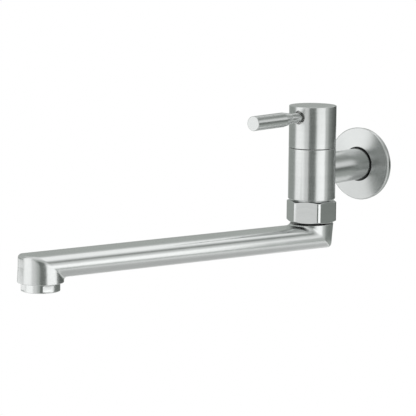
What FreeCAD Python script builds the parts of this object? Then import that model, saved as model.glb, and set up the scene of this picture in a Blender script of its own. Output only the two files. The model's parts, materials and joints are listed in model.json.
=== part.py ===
import FreeCAD, Part
import os
import re
import Sketcher

# Wall-mounted quarter-turn tap with a long swivel spout, in millimetres.
# The frame's origin is on the inlet's axis at the wall, +Z is up, +Y goes into the wall and
# -Y points out to the user. The valve's own axis is vertical, one arm's length out from the wall.

SIZES = {
    # inlet arm and its pipe thread
    "arm_length": 56.7,
    "arm_radius": 10.65,
    "arm_bore": 6.5,
    "pipe_thread_radius": 10.4775,
    "pipe_thread_length": 14.0,
    "pipe_thread_chamfer": 1.0,
    "weld_gap": 0.05,
    # wall flange
    "flange_radius": 24.8,
    "flange_rim": 3.7,
    "flange_crown": 1.2,
    "flange_wall": 1.6,
    "flange_edge": 0.5,
    "flange_lip_edge": 0.2,
    "flange_hole_gap": 0.95,
    "flange_ring_slack": 0.02,
    # valve body
    "body_radius": 15.75,
    "body_rise": 15.9,
    "body_drop": 18.1,
    "body_edge": 0.3,
    "body_wall": 5.45,
    "seat_depth": 8.5,
    "outlet_step": 0.7,
    "spigot_step": 3.75,
    "spigot_length": 11.4,
    "spigot_chamfer": 0.6,
    "spigot_wall": 2.8,
    "swivel_depth": 8.5,
    # clearances that several fits share
    "running_gap": 0.05,
    "thread_gap": 0.05,
    "slide_gap": 0.15,
    "face_gap": 0.05,
    "cut_overshoot": 1.0,
    # ceramic cartridge
    "housing_lift": 1.0,
    "cage_gap": 1.3,
    "cage_wall": 0.6,
    "disc_slack": 0.1,
    "seal_thickness": 2.5,
    "seal_width": 2.7,
    "disc_thickness": 2.8,
    "port_inner": 2.6,
    "port_margin": 1.5,
    "port_spread": 38.0,
    "port_count": 2,
    "water_room": 4.0,
    "window_width": 10.0,
    "window_margin": 0.3,
    "drive_width": 3.0,
    "drive_margin": 2.3,
    "drive_depth": 1.1,
    "drive_gap": 0.1,
    "spindle_flange": 2.8,
    "washer_thickness": 0.8,
    "stem_radius": 4.0,
    "gasket_thickness": 1.0,
    "collar_gap": 1.25,
    "collar_height": 1.5,
    "housing_hex_gap": 1.15,
    "housing_hex_height": 4.0,
    "neck_radius": 6.5,
    "neck_height": 3.1,
    "shank_margin": 0.3,
    # spindle's seals and clip
    "stem_ring_size": 0.9,
    "stem_ring_inset": 3.2,
    "stem_ring_pitch": 4.0,
    "ring_groove_slack": 0.3,
    "clip_lift": 0.1,
    "clip_thickness": 0.8,
    "clip_radius": 5.2,
    "clip_groove": 3.3,
    "clip_opening": 4.0,
    # handle
    "seam_gap": 0.35,
    "cap_wall": 1.9,
    "cap_roof": 2.0,
    "cap_edge": 0.3,
    "hub_slack": 0.1,
    "hub_lift": 1.1,
    "spline_length": 7.5,
    "spline_depth": 0.4,
    "spline_half_width": 0.56,
    "spline_count": 20,
    "insert_wall": 2.0,
    "spindle_headroom": 0.5,
    "hub_web": 1.5,
    "screw_radius": 2.0,
    "screw_reach": 7.0,
    "screw_gap": 0.1,
    "screw_head_radius": 3.5,
    "screw_head_height": 3.2,
    "screw_socket_flats": 3.0,
    "screw_socket_depth": 1.6,
    "screw_washer_thickness": 0.8,
    "screw_head_room": 1.0,
    "counterbore_slack": 1.1,
    # lever
    "lever_drop": 7.0,
    "lever_hole": 4.35,
    "stud_radius": 3.2,
    "stud_root": 7.0,
    "stud_end_room": 0.5,
    "stud_pitch": 0.9,
    "stud_groove": 0.35,
    "stud_groove_overshoot": 0.1,
    "stud_tang_radius": 2.0,
    "stud_tang_length": 6.0,
    "stud_tang_room": 1.0,
    "neck_entry": 1.25,
    "lever_neck_radius": 3.4,
    "lever_neck_length": 11.5,
    "lever_cone_start": 3.75,
    "lever_cone_length": 5.5,
    "grip_radius": 4.825,
    "grip_length": 32.8,
    "grip_edge": 0.45,
    # swivel joint
    "nut_flat_inset": 0.75,
    "nut_overhang": 1.05,
    "nut_gap": 1.1,
    "nut_lip": 2.5,
    "nut_chamfer": 0.9,
    "nut_turn": 24.8,
    "slip_ring_thickness": 1.2,
    "slip_ring_groove": 0.95,
    "slip_ring_slack": 0.45,
    "nut_hole_gap": 0.6,
    "slip_ring_opening": 3.0,
    "tail_wall": 2.95,
    "tail_headroom": 0.5,
    "tail_socket": 3.4,
    "tail_ring_size": 1.5,
    "tail_ring_inset": 2.2,
    "tail_ring_pitch": 3.0,
    # spout
    "spout_reach": 215.0,
    "spout_half_width": 14.1,
    "spout_half_height": 7.5,
    "spout_wall": 2.0,
    "spout_edge": 2.4,
    "spout_swing": 14.4,
    "elbow_gap": 1.3,
    "elbow_collar": 1.4,
    "collar_edge": 0.3,
    "head_flare": 0.55,
    "head_drop": 2.9,
    "head_edge": 0.4,
    # aerator
    "aerator_step": 0.4,
    "aerator_drop": 5.4,
    "socket_wall": 2.2,
    "aerator_wall": 1.6,
    "aerator_lip": 2.0,
    "aerator_lip_width": 1.1,
    "aerator_flat_depth": 0.7,
    "aerator_flat_foot": 0.9,
    "aerator_flat_height": 3.6,
    "aerator_flat_count": 4,
    "socket_ledge": 0.6,
    "aerator_washer": 1.0,
    "aerator_washer_width": 1.7,
    "screen_thickness": 0.4,
    "jet_radius": 0.9,
    "jet_margin": 3.9,
    "jet_count": 10,
}

# Levels are heights above the inlet's axis, and reaches are distances from the valve's axis.
PLACES = {
    # seat, discs and spindle, upwards from the seat
    "seat_level": "-seat_depth",
    "housing_bottom": "seat_level + housing_lift",
    "seal_top": "seat_level + seal_thickness",
    "disc_joint": "seal_top + disc_thickness",
    "upper_disc_bottom": "disc_joint + face_gap",
    "upper_disc_top": "upper_disc_bottom + disc_thickness",
    "flange_bottom": "upper_disc_top + water_room",
    "flange_top": "flange_bottom + spindle_flange",
    "washer_bottom": "flange_top + face_gap",
    "washer_top": "washer_bottom + washer_thickness",
    "shoulder_level": "washer_top + face_gap",
    "window_bottom": "upper_disc_top + window_margin",
    "window_top": "flange_bottom - window_margin",
    "shank_bottom": "arm_bore + shank_margin",
    "chamber_radius": "body_radius - body_wall",
    "cage_radius": "chamber_radius - cage_gap",
    "cage_bore": "cage_radius - cage_wall",
    "disc_radius": "cage_bore - disc_slack",
    "port_outer": "disc_radius - port_margin",
    "drive_half": "disc_radius - drive_margin",
    "stem_bore": "stem_radius + running_gap",
    # housing above the body, upwards to the top of the cap
    "gasket_top": "body_rise + gasket_thickness",
    "collar_top": "gasket_top + collar_height",
    "hex_top": "collar_top + housing_hex_height",
    "neck_top": "hex_top + neck_height",
    "clip_bottom": "neck_top + clip_lift",
    "clip_top": "clip_bottom + clip_thickness",
    "hub_bottom": "clip_top + hub_lift",
    "spindle_top": "hub_bottom + spline_length",
    "web_bottom": "spindle_top + spindle_headroom",
    "web_top": "web_bottom + hub_web",
    "head_bottom_level": "web_top + screw_washer_thickness",
    "head_top_level": "head_bottom_level + screw_head_height",
    "hub_top": "head_top_level + screw_head_room",
    "roof_bottom": "hub_top + hub_slack",
    "cap_top": "roof_bottom + cap_roof",
    "cap_bottom": "body_rise + seam_gap",
    "cap_bore": "body_radius - cap_wall",
    "collar_radius": "cap_bore - collar_gap",
    "hex_corner": "cap_bore - housing_hex_gap",
    "hub_radius": "cap_bore - hub_slack",
    "insert_bore": "stem_radius + running_gap",
    "insert_radius": "insert_bore + insert_wall",
    "lever_level": "cap_top - lever_drop",
    # lever, outwards from the valve's axis
    "neck_start": "body_radius - neck_entry",
    "neck_end": "neck_start + lever_neck_length",
    "cone_end": "neck_end + lever_cone_length",
    "grip_end": "cone_end + grip_length",
    # swivel joint and spout, downwards from the body
    "spigot_radius": "body_radius - spigot_step",
    "swivel_bore": "spigot_radius - spigot_wall",
    "spigot_bottom": "-body_drop - spigot_length",
    "swivel_top": "spigot_bottom + swivel_depth",
    "nut_flats": "2 * (body_radius - nut_flat_inset)",
    "nut_corner": "body_radius + nut_overhang",
    "nut_top": "-body_drop - nut_gap",
    "slip_ring_top": "spigot_bottom - slide_gap",
    "slip_ring_bottom": "slip_ring_top - slip_ring_thickness",
    "nut_lip_top": "slip_ring_bottom - slide_gap",
    "nut_bottom": "nut_lip_top - nut_lip",
    "nut_bore": "spigot_radius + thread_gap",
    "tail_radius": "swivel_bore - running_gap",
    "tail_bore": "tail_radius - tail_wall",
    "nut_hole": "tail_radius + nut_hole_gap",
    "outlet_radius": "tail_bore - outlet_step",
    "tail_top": "swivel_top - tail_headroom",
    "tail_groove": "swivel_bore - tail_ring_size - running_gap",
    "tail_ring_upper": "tail_top - tail_ring_inset",
    "tail_ring_lower": "tail_ring_upper - tail_ring_pitch",
    "tail_neck": "tail_radius - slip_ring_groove",
    "elbow_top": "nut_bottom - elbow_gap",
    "tail_bottom": "elbow_top - tail_socket",
    "tube_top": "elbow_top - elbow_collar",
    "tube_middle": "tube_top - spout_half_height",
    "tube_bottom": "tube_middle - spout_half_height",
    "head_bottom": "tube_bottom - head_drop",
    "head_radius": "spout_half_width + head_flare",
    "socket_top": "tube_bottom + spout_wall - socket_ledge",
    "shell_top": "socket_top - aerator_washer",
    "aerator_top": "head_bottom - slide_gap",
    "aerator_bottom": "head_bottom - aerator_drop",
    "aerator_thread": "spout_half_width - socket_wall",
    "aerator_radius": "aerator_thread + aerator_step",
    "aerator_flat": "aerator_radius - aerator_flat_depth",
    "aerator_bore": "aerator_thread - aerator_wall",
    "jet_circle": "aerator_bore - jet_margin",
    "aerator_lip_top": "aerator_bottom + aerator_lip",
    "screen_bottom": "aerator_lip_top + face_gap",
    "screen_top": "screen_bottom + screen_thickness",
    "insert_bottom": "screen_top + face_gap",
    "insert_top": "shell_top - face_gap",
    # stem and flange seals
    "stem_groove": "stem_radius - stem_ring_size",
    "stem_ring_lower": "shoulder_level + stem_ring_inset",
    "stem_ring_upper": "stem_ring_lower + stem_ring_pitch",
    "flange_hole": "arm_radius + flange_hole_gap",
    "flange_depth": "flange_rim + flange_crown",
    "flange_ring_radius": "flange_hole_gap / 2 - flange_ring_slack",
}

doc = FreeCAD.newDocument("wall_tap")
parts = []


def make_sheets():
    """Puts the driving sizes in one sheet and the places that follow from them in another."""
    sizes = doc.addObject("Spreadsheet::Sheet", "Sizes")
    for row, (name, value) in enumerate(SIZES.items(), 1):
        sizes.set(f"A{row}", name)
        sizes.set(f"B{row}", str(value))
        sizes.setAlias(f"B{row}", name)
    places = doc.addObject("Spreadsheet::Sheet", "Places")
    for row, (name, formula) in enumerate(PLACES.items(), 1):
        places.set(f"A{row}", name)
        places.set(f"B{row}", "=" + bound(formula, own="Places"))
        places.setAlias(f"B{row}", name)
    doc.recompute()


def bound(formula, own=None):
    """Writes each size's or place's plain name in a formula as the sheet cell it stands for."""
    def cell(match):
        name = match.group(0)
        if name in SIZES:
            return "Sizes." + name
        if name in PLACES:
            return name if own == "Places" else "Places." + name
        return name
    return re.sub(r"[a-z_]+", cell, str(formula))


def value(formula):
    """The formula's present value."""
    return float(doc.Sizes.evalExpression(bound(formula)))


def bind(thing, prop, formula):
    thing.setExpression(prop, bound(formula))


def place(thing, x="0", y="0", z="0", turn=None, angle=None):
    """Moves a finished piece; turn is a rotation, whose angle can follow a size."""
    thing.Placement = FreeCAD.Placement(FreeCAD.Vector(), turn or FreeCAD.Rotation())
    for axis, formula in (("x", x), ("y", y), ("z", z)):
        bind(thing, "Placement.Base." + axis, formula)
    if angle:
        bind(thing, "Placement.Rotation.Angle", angle)
    return thing


def outward(degrees=90):
    """The turn that lays a piece's own +Z along -Y, away from the wall."""
    return FreeCAD.Rotation(FreeCAD.Vector(1, 0, 0), degrees)


def on_valve_axis(thing):
    """Stands a piece on the valve's vertical axis and keeps it for export."""
    parts.append(place(thing, y="-arm_length"))
    return thing


def body(label):
    made = doc.addObject("PartDesign::Body", label)
    made.Label = label
    return made


def sketch(owner, role, name, start="0"):
    """A sketch on one of the body's own origin planes, moved off it by start."""
    made = owner.newObject("Sketcher::SketchObject", name)
    plane = next(face for face in owner.Origin.OriginFeatures if face.Role == role)
    made.AttachmentSupport = (plane, [""])
    made.MapMode = "FlatFace"
    bind(made, "AttachmentOffset.Base.z", start)
    return made


def fix(drawn, geometry, point, across, up):
    """Ties a sketch point to its two distances from the sketch's origin."""
    for kind, formula in (("DistanceX", across), ("DistanceY", up)):
        index = drawn.addConstraint(Sketcher.Constraint(kind, -1, 1, geometry, point, value(formula)))
        drawn.setExpression(f"Constraints[{index}]", bound(formula))


def outline(drawn, corners):
    """A closed outline of straight lines through corners given as two formulas each."""
    first = drawn.GeometryCount
    spots = [FreeCAD.Vector(value(across), value(up), 0) for across, up in corners]
    for number, spot in enumerate(spots):
        following = spots[(number + 1) % len(spots)]
        drawn.addGeometry(Part.LineSegment(spot, following), False)
    for number, (across, up) in enumerate(corners):
        following = first + (number + 1) % len(corners)
        drawn.addConstraint(Sketcher.Constraint("Coincident", first + number, 2, following, 1))
        fix(drawn, first + number, 1, across, up)


def circle(drawn, radius, across="0", up="0"):
    index = drawn.addGeometry(
        Part.Circle(FreeCAD.Vector(value(across), value(up), 0), FreeCAD.Vector(0, 0, 1), value(radius)),
        False,
    )
    fix(drawn, index, 3, across, up)
    rule = drawn.addConstraint(Sketcher.Constraint("Radius", index, value(radius)))
    drawn.setExpression(f"Constraints[{rule}]", bound(radius))


def hexagon(drawn, flats, turn):
    """Six corners at the flats' half-width over cos 30, the first one turned from +X."""
    corner = f"{flats} / 2 / cos(30)"
    angles = [f"{turn} + {60 * number}" for number in range(6)]
    outline(drawn, [(f"{corner} * cos({angle})", f"{corner} * sin({angle})") for angle in angles])


def rectangle(drawn, left, right, low, high):
    outline(drawn, [(left, low), (right, low), (right, high), (left, high)])


def turned(label, profile):
    """A body turned about its own Z from corners given as radius and level."""
    made = body(label)
    drawn = sketch(made, "XZ_Plane", label + "_profile")
    outline(drawn, profile)
    feature = made.newObject("PartDesign::Revolution", label + "_turned")
    feature.Profile = drawn
    feature.ReferenceAxis = (drawn, ["V_Axis"])
    feature.Angle = 360
    return made


def pocket(owner, drawn, length, midplane=False, reverse=False):
    """Cuts a sketch into the body, and checks that the cut took something away."""
    before = owner.Shape.Volume if not owner.Shape.isNull() else 0
    cut = owner.newObject("PartDesign::Pocket", drawn.Name + "_cut")
    cut.Profile = drawn
    cut.Midplane = midplane
    cut.Reversed = reverse
    bind(cut, "Length", length)
    doc.recompute()
    if owner.Shape.Volume >= before:
        raise RuntimeError(owner.Label + ": " + drawn.Name + " cuts nothing")
    return cut


def pad(owner, drawn, length, midplane=False, reverse=False):
    added = owner.newObject("PartDesign::Pad", drawn.Name + "_pad")
    added.Profile = drawn
    added.Midplane = midplane
    added.Reversed = reverse
    bind(added, "Length", length)
    return added


def repeat(owner, feature, count):
    """Repeats a feature evenly round the body's own Z."""
    pattern = owner.newObject("PartDesign::PolarPattern", feature.Name + "_round")
    pattern.Originals = [feature]
    pattern.Axis = (next(line for line in owner.Origin.OriginFeatures if line.Role == "Z_Axis"), [""])
    pattern.Angle = 360
    bind(pattern, "Occurrences", count)
    owner.Tip = pattern
    doc.recompute()
    return pattern


def flats(owner, name, across, turn, low, high, beyond):
    """Cuts a hexagon's flats between two levels by taking away all that lies outside it."""
    drawn = sketch(owner, "XY_Plane", name, low)
    circle(drawn, beyond)
    hexagon(drawn, across, turn)
    pocket(owner, drawn, f"{high} - ({low})", reverse=True)


def ring_seal(label, level, reach, thickness):
    """A round rubber ring whose section's centre runs at the given reach."""
    made = doc.addObject("Part::Torus", label)
    made.Label = label
    bind(made, "Radius1", reach)
    bind(made, "Radius2", thickness)
    bind(made, "Placement.Base.z", level)
    return made


def together(label, members):
    """Several like solids that share one node."""
    made = doc.addObject("Part::Compound", label)
    made.Label = label
    made.Links = members
    return made


# Fixed to the wall


def valve_body():
    made = turned("valve_body", [
        ("swivel_bore", "spigot_bottom"),
        ("spigot_radius - spigot_chamfer", "spigot_bottom"),
        ("spigot_radius", "spigot_bottom + spigot_chamfer"),
        ("spigot_radius", "-body_drop"),
        ("body_radius - body_edge", "-body_drop"),
        ("body_radius", "-body_drop + body_edge"),
        ("body_radius", "body_rise - body_edge"),
        ("body_radius - body_edge", "body_rise"),
        ("chamber_radius", "body_rise"),
        ("chamber_radius", "seat_level"),
        ("outlet_radius", "seat_level"),
        ("outlet_radius", "swivel_top"),
        ("swivel_bore", "swivel_top"),
    ])
    doc.recompute()
    port = sketch(made, "XZ_Plane", "inlet_port")
    circle(port, "arm_bore")
    pocket(made, port, "body_radius + cut_overshoot")
    on_valve_axis(made)


def inlet_arm():
    """The arm's own Z runs from the wall out to the valve body, whose side it is coped to."""
    made = turned("inlet_arm", [
        ("arm_bore", "-pipe_thread_length"),
        ("pipe_thread_radius - pipe_thread_chamfer", "-pipe_thread_length"),
        ("pipe_thread_radius", "-pipe_thread_length + pipe_thread_chamfer"),
        ("pipe_thread_radius", "0"),
        ("arm_radius", "0"),
        ("arm_radius", "arm_length"),
        ("arm_bore", "arm_length"),
    ])
    doc.recompute()
    cope = sketch(made, "XZ_Plane", "cope")
    circle(cope, "body_radius + weld_gap", "0", "arm_length")
    pocket(made, cope, "2 * (arm_radius + cut_overshoot)", midplane=True)
    parts.append(place(made, turn=outward()))


def cartridge_housing():
    made = turned("cartridge_housing", [
        ("cage_bore", "housing_bottom"),
        ("cage_radius", "housing_bottom"),
        ("cage_radius", "shank_bottom"),
        ("chamber_radius - thread_gap", "shank_bottom"),
        ("chamber_radius - thread_gap", "gasket_top"),
        ("collar_radius", "gasket_top"),
        ("collar_radius", "collar_top"),
        ("hex_corner", "collar_top"),
        ("hex_corner", "hex_top"),
        ("neck_radius", "hex_top"),
        ("neck_radius", "neck_top"),
        ("stem_bore", "neck_top"),
        ("stem_bore", "shoulder_level"),
        ("cage_bore", "shoulder_level"),
    ])
    doc.recompute()
    across = "2 * hex_corner * cos(30)"
    flats(made, "housing_hex", across, "0", "collar_top", "hex_top", "2 * hex_corner")
    windows = sketch(made, "XZ_Plane", "windows")
    rectangle(windows, "-window_width / 2", "window_width / 2", "window_bottom", "window_top")
    pocket(made, windows, "2 * (cage_radius + cut_overshoot)", midplane=True)
    on_valve_axis(made)


def housing_gasket():
    on_valve_axis(turned("housing_gasket", [
        ("chamber_radius", "body_rise"),
        ("collar_radius", "body_rise"),
        ("collar_radius", "gasket_top"),
        ("chamber_radius", "gasket_top"),
    ]))


def seat_seal():
    on_valve_axis(turned("seat_seal", [
        ("disc_radius - seal_width", "seat_level"),
        ("disc_radius", "seat_level"),
        ("disc_radius", "seal_top"),
        ("disc_radius - seal_width", "seal_top"),
    ]))


def disc(label, low, high, along):
    """A ceramic disc with two opposite fan-shaped ports, whose middles lie at the angle along."""
    made = turned(label, [("0", low), ("disc_radius", low), ("disc_radius", high), ("0", high)])
    doc.recompute()
    port = sketch(made, "XY_Plane", label + "_port", low)
    corners = (("port_inner", "-"), ("port_outer", "-"), ("port_outer", "+"), ("port_inner", "+"))
    outline(port, [
        (f"{reach} * cos({along} {side} port_spread)", f"{reach} * sin({along} {side} port_spread)")
        for reach, side in corners
    ])
    cut = pocket(made, port, f"{high} - ({low})", reverse=True)
    repeat(made, cut, "port_count")
    return made


def lower_disc():
    on_valve_axis(disc("lower_disc", "seal_top", "disc_joint", 0))


def coupling_nut():
    made = turned("coupling_nut", [
        ("nut_hole", "nut_bottom"),
        ("nut_corner - 2 * nut_chamfer", "nut_bottom"),
        ("nut_corner", "nut_bottom + nut_chamfer"),
        ("nut_corner", "nut_top - nut_chamfer"),
        ("nut_corner - 2 * nut_chamfer", "nut_top"),
        ("nut_bore", "nut_top"),
        ("nut_bore", "nut_lip_top"),
        ("nut_hole", "nut_lip_top"),
    ])
    doc.recompute()
    flats(made, "nut_hex", "nut_flats", "nut_turn", "nut_bottom", "nut_top", "2 * nut_corner")
    on_valve_axis(made)


# Turning with the handle


def upper_disc():
    made = disc("upper_disc", "upper_disc_bottom", "upper_disc_top", 90)
    slot = sketch(made, "XZ_Plane", "drive_slot")
    half = "drive_half + drive_gap"
    floor = "upper_disc_top - drive_depth - drive_gap"
    rectangle(slot, f"-({half})", half, floor, "upper_disc_top + cut_overshoot")
    pocket(made, slot, "drive_width + 2 * drive_gap", midplane=True)
    on_valve_axis(made)


def spindle():
    ring = "(stem_ring_size + ring_groove_slack) / 2"
    made = turned("spindle", [
        ("0", "flange_bottom"),
        ("disc_radius", "flange_bottom"),
        ("disc_radius", "flange_top"),
        ("stem_radius", "flange_top"),
        ("stem_radius", f"stem_ring_lower - {ring}"),
        ("stem_groove", f"stem_ring_lower - {ring}"),
        ("stem_groove", f"stem_ring_lower + {ring}"),
        ("stem_radius", f"stem_ring_lower + {ring}"),
        ("stem_radius", f"stem_ring_upper - {ring}"),
        ("stem_groove", f"stem_ring_upper - {ring}"),
        ("stem_groove", f"stem_ring_upper + {ring}"),
        ("stem_radius", f"stem_ring_upper + {ring}"),
        ("stem_radius", "neck_top"),
        ("clip_groove", "neck_top"),
        ("clip_groove", "clip_top + face_gap"),
        ("stem_radius", "clip_top + face_gap"),
        ("stem_radius", "spindle_top"),
        ("screw_radius + thread_gap", "spindle_top"),
        ("screw_radius + thread_gap", "spindle_top - screw_reach"),
        ("0", "spindle_top - screw_reach"),
    ])
    tongue = sketch(made, "XZ_Plane", "drive_tongue")
    rectangle(tongue, "-drive_half", "drive_half", "upper_disc_top - drive_depth", "flange_bottom")
    pad(made, tongue, "drive_width", midplane=True)
    doc.recompute()
    groove = sketch(made, "XY_Plane", "spline_groove", "hub_bottom")
    outline(groove, [
        ("stem_radius - spline_depth", "0"),
        ("stem_radius + spline_depth", "-spline_half_width"),
        ("stem_radius + spline_depth", "spline_half_width"),
    ])
    cut = pocket(made, groove, "spline_length + cut_overshoot", reverse=True)
    repeat(made, cut, "spline_count")
    on_valve_axis(made)


def thrust_washer():
    on_valve_axis(turned("thrust_washer", [
        ("stem_bore", "washer_bottom"),
        ("disc_radius", "washer_bottom"),
        ("disc_radius", "washer_top"),
        ("stem_bore", "washer_top"),
    ]))


def spindle_rings():
    members = [
        ring_seal("spindle_ring_" + which, level, "stem_groove + stem_ring_size / 2", "stem_ring_size / 2")
        for which, level in (("lower", "stem_ring_lower"), ("upper", "stem_ring_upper"))
    ]
    on_valve_axis(together("spindle_o_rings", members))


def spindle_clip():
    made = turned("spindle_clip", [
        ("clip_groove + face_gap", "clip_bottom"),
        ("clip_radius", "clip_bottom"),
        ("clip_radius", "clip_top"),
        ("clip_groove + face_gap", "clip_top"),
    ])
    doc.recompute()
    opening = sketch(made, "XZ_Plane", "clip_mouth")
    low, high = "clip_bottom - cut_overshoot", "clip_top + cut_overshoot"
    rectangle(opening, "-clip_opening / 2", "clip_opening / 2", low, high)
    pocket(made, opening, "2 * clip_radius")
    on_valve_axis(made)


def spline_insert():
    on_valve_axis(turned("spline_insert", [
        ("insert_bore", "hub_bottom"),
        ("insert_radius", "hub_bottom"),
        ("insert_radius", "web_bottom - face_gap"),
        ("insert_bore", "web_bottom - face_gap"),
    ]))


def handle_hub():
    made = turned("handle_hub", [
        ("insert_radius + face_gap", "hub_bottom"),
        ("hub_radius", "hub_bottom"),
        ("hub_radius", "hub_top"),
        ("screw_head_radius + counterbore_slack", "hub_top"),
        ("screw_head_radius + counterbore_slack", "web_top"),
        ("screw_radius + screw_gap", "web_top"),
        ("screw_radius + screw_gap", "web_bottom"),
        ("insert_radius + face_gap", "web_bottom"),
    ])
    doc.recompute()
    tapping = sketch(made, "XZ_Plane", "lever_tapping", "stud_root - stud_end_room")
    circle(tapping, "stud_radius + thread_gap", "0", "lever_level")
    pocket(made, tapping, "hub_radius", reverse=True)
    on_valve_axis(made)


def hub_screw():
    made = turned("hub_screw", [
        ("0", "spindle_top - screw_reach + face_gap"),
        ("screw_radius", "spindle_top - screw_reach + face_gap"),
        ("screw_radius", "head_bottom_level"),
        ("screw_head_radius", "head_bottom_level"),
        ("screw_head_radius", "head_top_level"),
        ("0", "head_top_level"),
    ])
    doc.recompute()
    socket = sketch(made, "XY_Plane", "screw_socket_hex", "head_top_level - screw_socket_depth")
    hexagon(socket, "screw_socket_flats", "0")
    pocket(made, socket, "screw_socket_depth + cut_overshoot", reverse=True)
    on_valve_axis(made)


def screw_washer():
    on_valve_axis(turned("screw_washer", [
        ("screw_radius + screw_gap", "web_top"),
        ("screw_head_radius", "web_top"),
        ("screw_head_radius", "head_bottom_level"),
        ("screw_radius + screw_gap", "head_bottom_level"),
    ]))


def handle_cap():
    made = turned("handle_cap", [
        ("cap_bore", "cap_bottom"),
        ("body_radius - cap_edge", "cap_bottom"),
        ("body_radius", "cap_bottom + cap_edge"),
        ("body_radius", "cap_top - cap_edge"),
        ("body_radius - cap_edge", "cap_top"),
        ("0", "cap_top"),
        ("0", "roof_bottom"),
        ("cap_bore", "roof_bottom"),
    ])
    doc.recompute()
    hole = sketch(made, "XZ_Plane", "lever_opening")
    circle(hole, "lever_hole", "0", "lever_level")
    pocket(made, hole, "body_radius + cut_overshoot", reverse=True)
    on_valve_axis(made)


def on_lever_axis(thing):
    """Lays a piece on the lever's axis, its own Z pointing away from the valve."""
    parts.append(place(thing, y="-arm_length", z="lever_level", turn=outward()))


def lever_grip():
    on_lever_axis(turned("lever_grip", [
        ("stud_tang_radius + thread_gap", "neck_start"),
        ("lever_neck_radius", "neck_start"),
        ("lever_neck_radius", "neck_end"),
        ("lever_cone_start", "neck_end"),
        ("grip_radius", "cone_end"),
        ("grip_radius", "grip_end - grip_edge"),
        ("grip_radius - grip_edge", "grip_end"),
        ("0", "grip_end"),
        ("0", "neck_start + stud_tang_length + stud_tang_room"),
        ("stud_tang_radius + thread_gap", "neck_start + stud_tang_length + stud_tang_room"),
    ]))


def lever_stud():
    """The threaded stud, whose thread shows as rings inside the cap's hole."""
    made = turned("lever_stud", [
        ("0", "stud_root"),
        ("stud_radius", "stud_root"),
        ("stud_radius", "neck_start"),
        ("stud_tang_radius", "neck_start"),
        ("stud_tang_radius", "neck_start + stud_tang_length"),
        ("0", "neck_start + stud_tang_length"),
    ])
    ring = sketch(made, "XZ_Plane", "stud_thread")
    outline(ring, [
        ("stud_radius - stud_groove", "stud_root + stud_pitch"),
        ("stud_radius + stud_groove_overshoot", "stud_root + stud_pitch / 2"),
        ("stud_radius + stud_groove_overshoot", "stud_root + 1.5 * stud_pitch"),
    ])
    groove = made.newObject("PartDesign::Groove", "stud_thread_ring")
    groove.Profile = ring
    groove.ReferenceAxis = (ring, ["V_Axis"])
    groove.Angle = 360
    doc.recompute()
    rings = made.newObject("PartDesign::LinearPattern", "stud_thread_rings")
    rings.Originals = [groove]
    rings.Direction = (next(line for line in made.Origin.OriginFeatures if line.Role == "Z_Axis"), [""])
    bind(rings, "Occurrences", "floor((neck_start - stud_root) / stud_pitch) - 1")
    bind(rings, "Length", "stud_pitch * (floor((neck_start - stud_root) / stud_pitch) - 2)")
    made.Tip = rings
    on_lever_axis(made)


# Turning with the spout


def slot_outline(drawn, near, far, radius):
    """A long hole's outline round two centres, each given as two formulas: two half circles
    of one radius whose ends are joined by tangent lines."""
    first, second = (FreeCAD.Vector(value(across), value(up), 0) for across, up in (near, far))
    size = value(radius)
    along = (second - first) * (size / first.distanceToPoint(second))
    side = FreeCAD.Vector(-along.y, along.x, 0)
    drawn.addGeometry(Part.Arc(first + side, first - along, first - side), False)
    drawn.addGeometry(Part.Arc(second - side, second + along, second + side), False)
    drawn.addGeometry(Part.LineSegment(first - side, second - side), False)
    drawn.addGeometry(Part.LineSegment(second + side, first + side), False)
    for arc, centre in ((0, near), (1, far)):
        fix(drawn, arc, 3, *centre)
        rule = drawn.addConstraint(Sketcher.Constraint("Radius", arc, size))
        drawn.setExpression(f"Constraints[{rule}]", bound(radius))
    for line, line_end, arc, arc_end in ((2, 1, 0, 2), (2, 2, 1, 1), (3, 1, 1, 2), (3, 2, 0, 1)):
        drawn.addConstraint(Sketcher.Constraint("Tangent", line, line_end, arc, arc_end))


def tube_prism(label, inset):
    """The spout's flattened tube, longer than the spout at both ends."""
    made = body(label)
    section = sketch(made, "XZ_Plane", label + "_section", "-spout_half_width")
    centre = "spout_half_width - spout_half_height"
    slot_outline(
        section,
        (f"-({centre})", "tube_middle"),
        (centre, "tube_middle"),
        f"spout_half_height - {inset}",
    )
    pad(made, section, "spout_reach + 2 * spout_half_width")
    return made


def plan_prism(label, inset):
    """The spout seen from above, a long slot with a rounded rim at its two ends."""
    made = body(label)
    plan = sketch(made, "XY_Plane", label + "_plan", f"tube_bottom + {inset}")
    slot_outline(plan, ("0", "-spout_reach"), ("0", "0"), f"spout_half_width - {inset}")
    feature = pad(made, plan, f"2 * (spout_half_height - {inset})")
    doc.recompute()
    level_faces = [
        f"Face{number}" for number, face in enumerate(feature.Shape.Faces, 1)
        if round(face.normalAt(0, 0).z)
    ]
    rim = made.newObject("PartDesign::Fillet", label + "_rim")
    rim.Base = (feature, level_faces)
    bind(rim, "Radius", "spout_edge")
    return made


def joined(kind, label, members):
    """A boolean of finished members, added only once they all exist."""
    made = doc.addObject(kind, label)
    made.Shapes = members
    return made


def spout_hull(label, inset):
    """Where the flattened tube and the plan overlap."""
    members = [tube_prism(label + "_tube", inset), plan_prism(label + "_plan", inset)]
    return joined("Part::MultiCommon", label, members)


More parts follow.
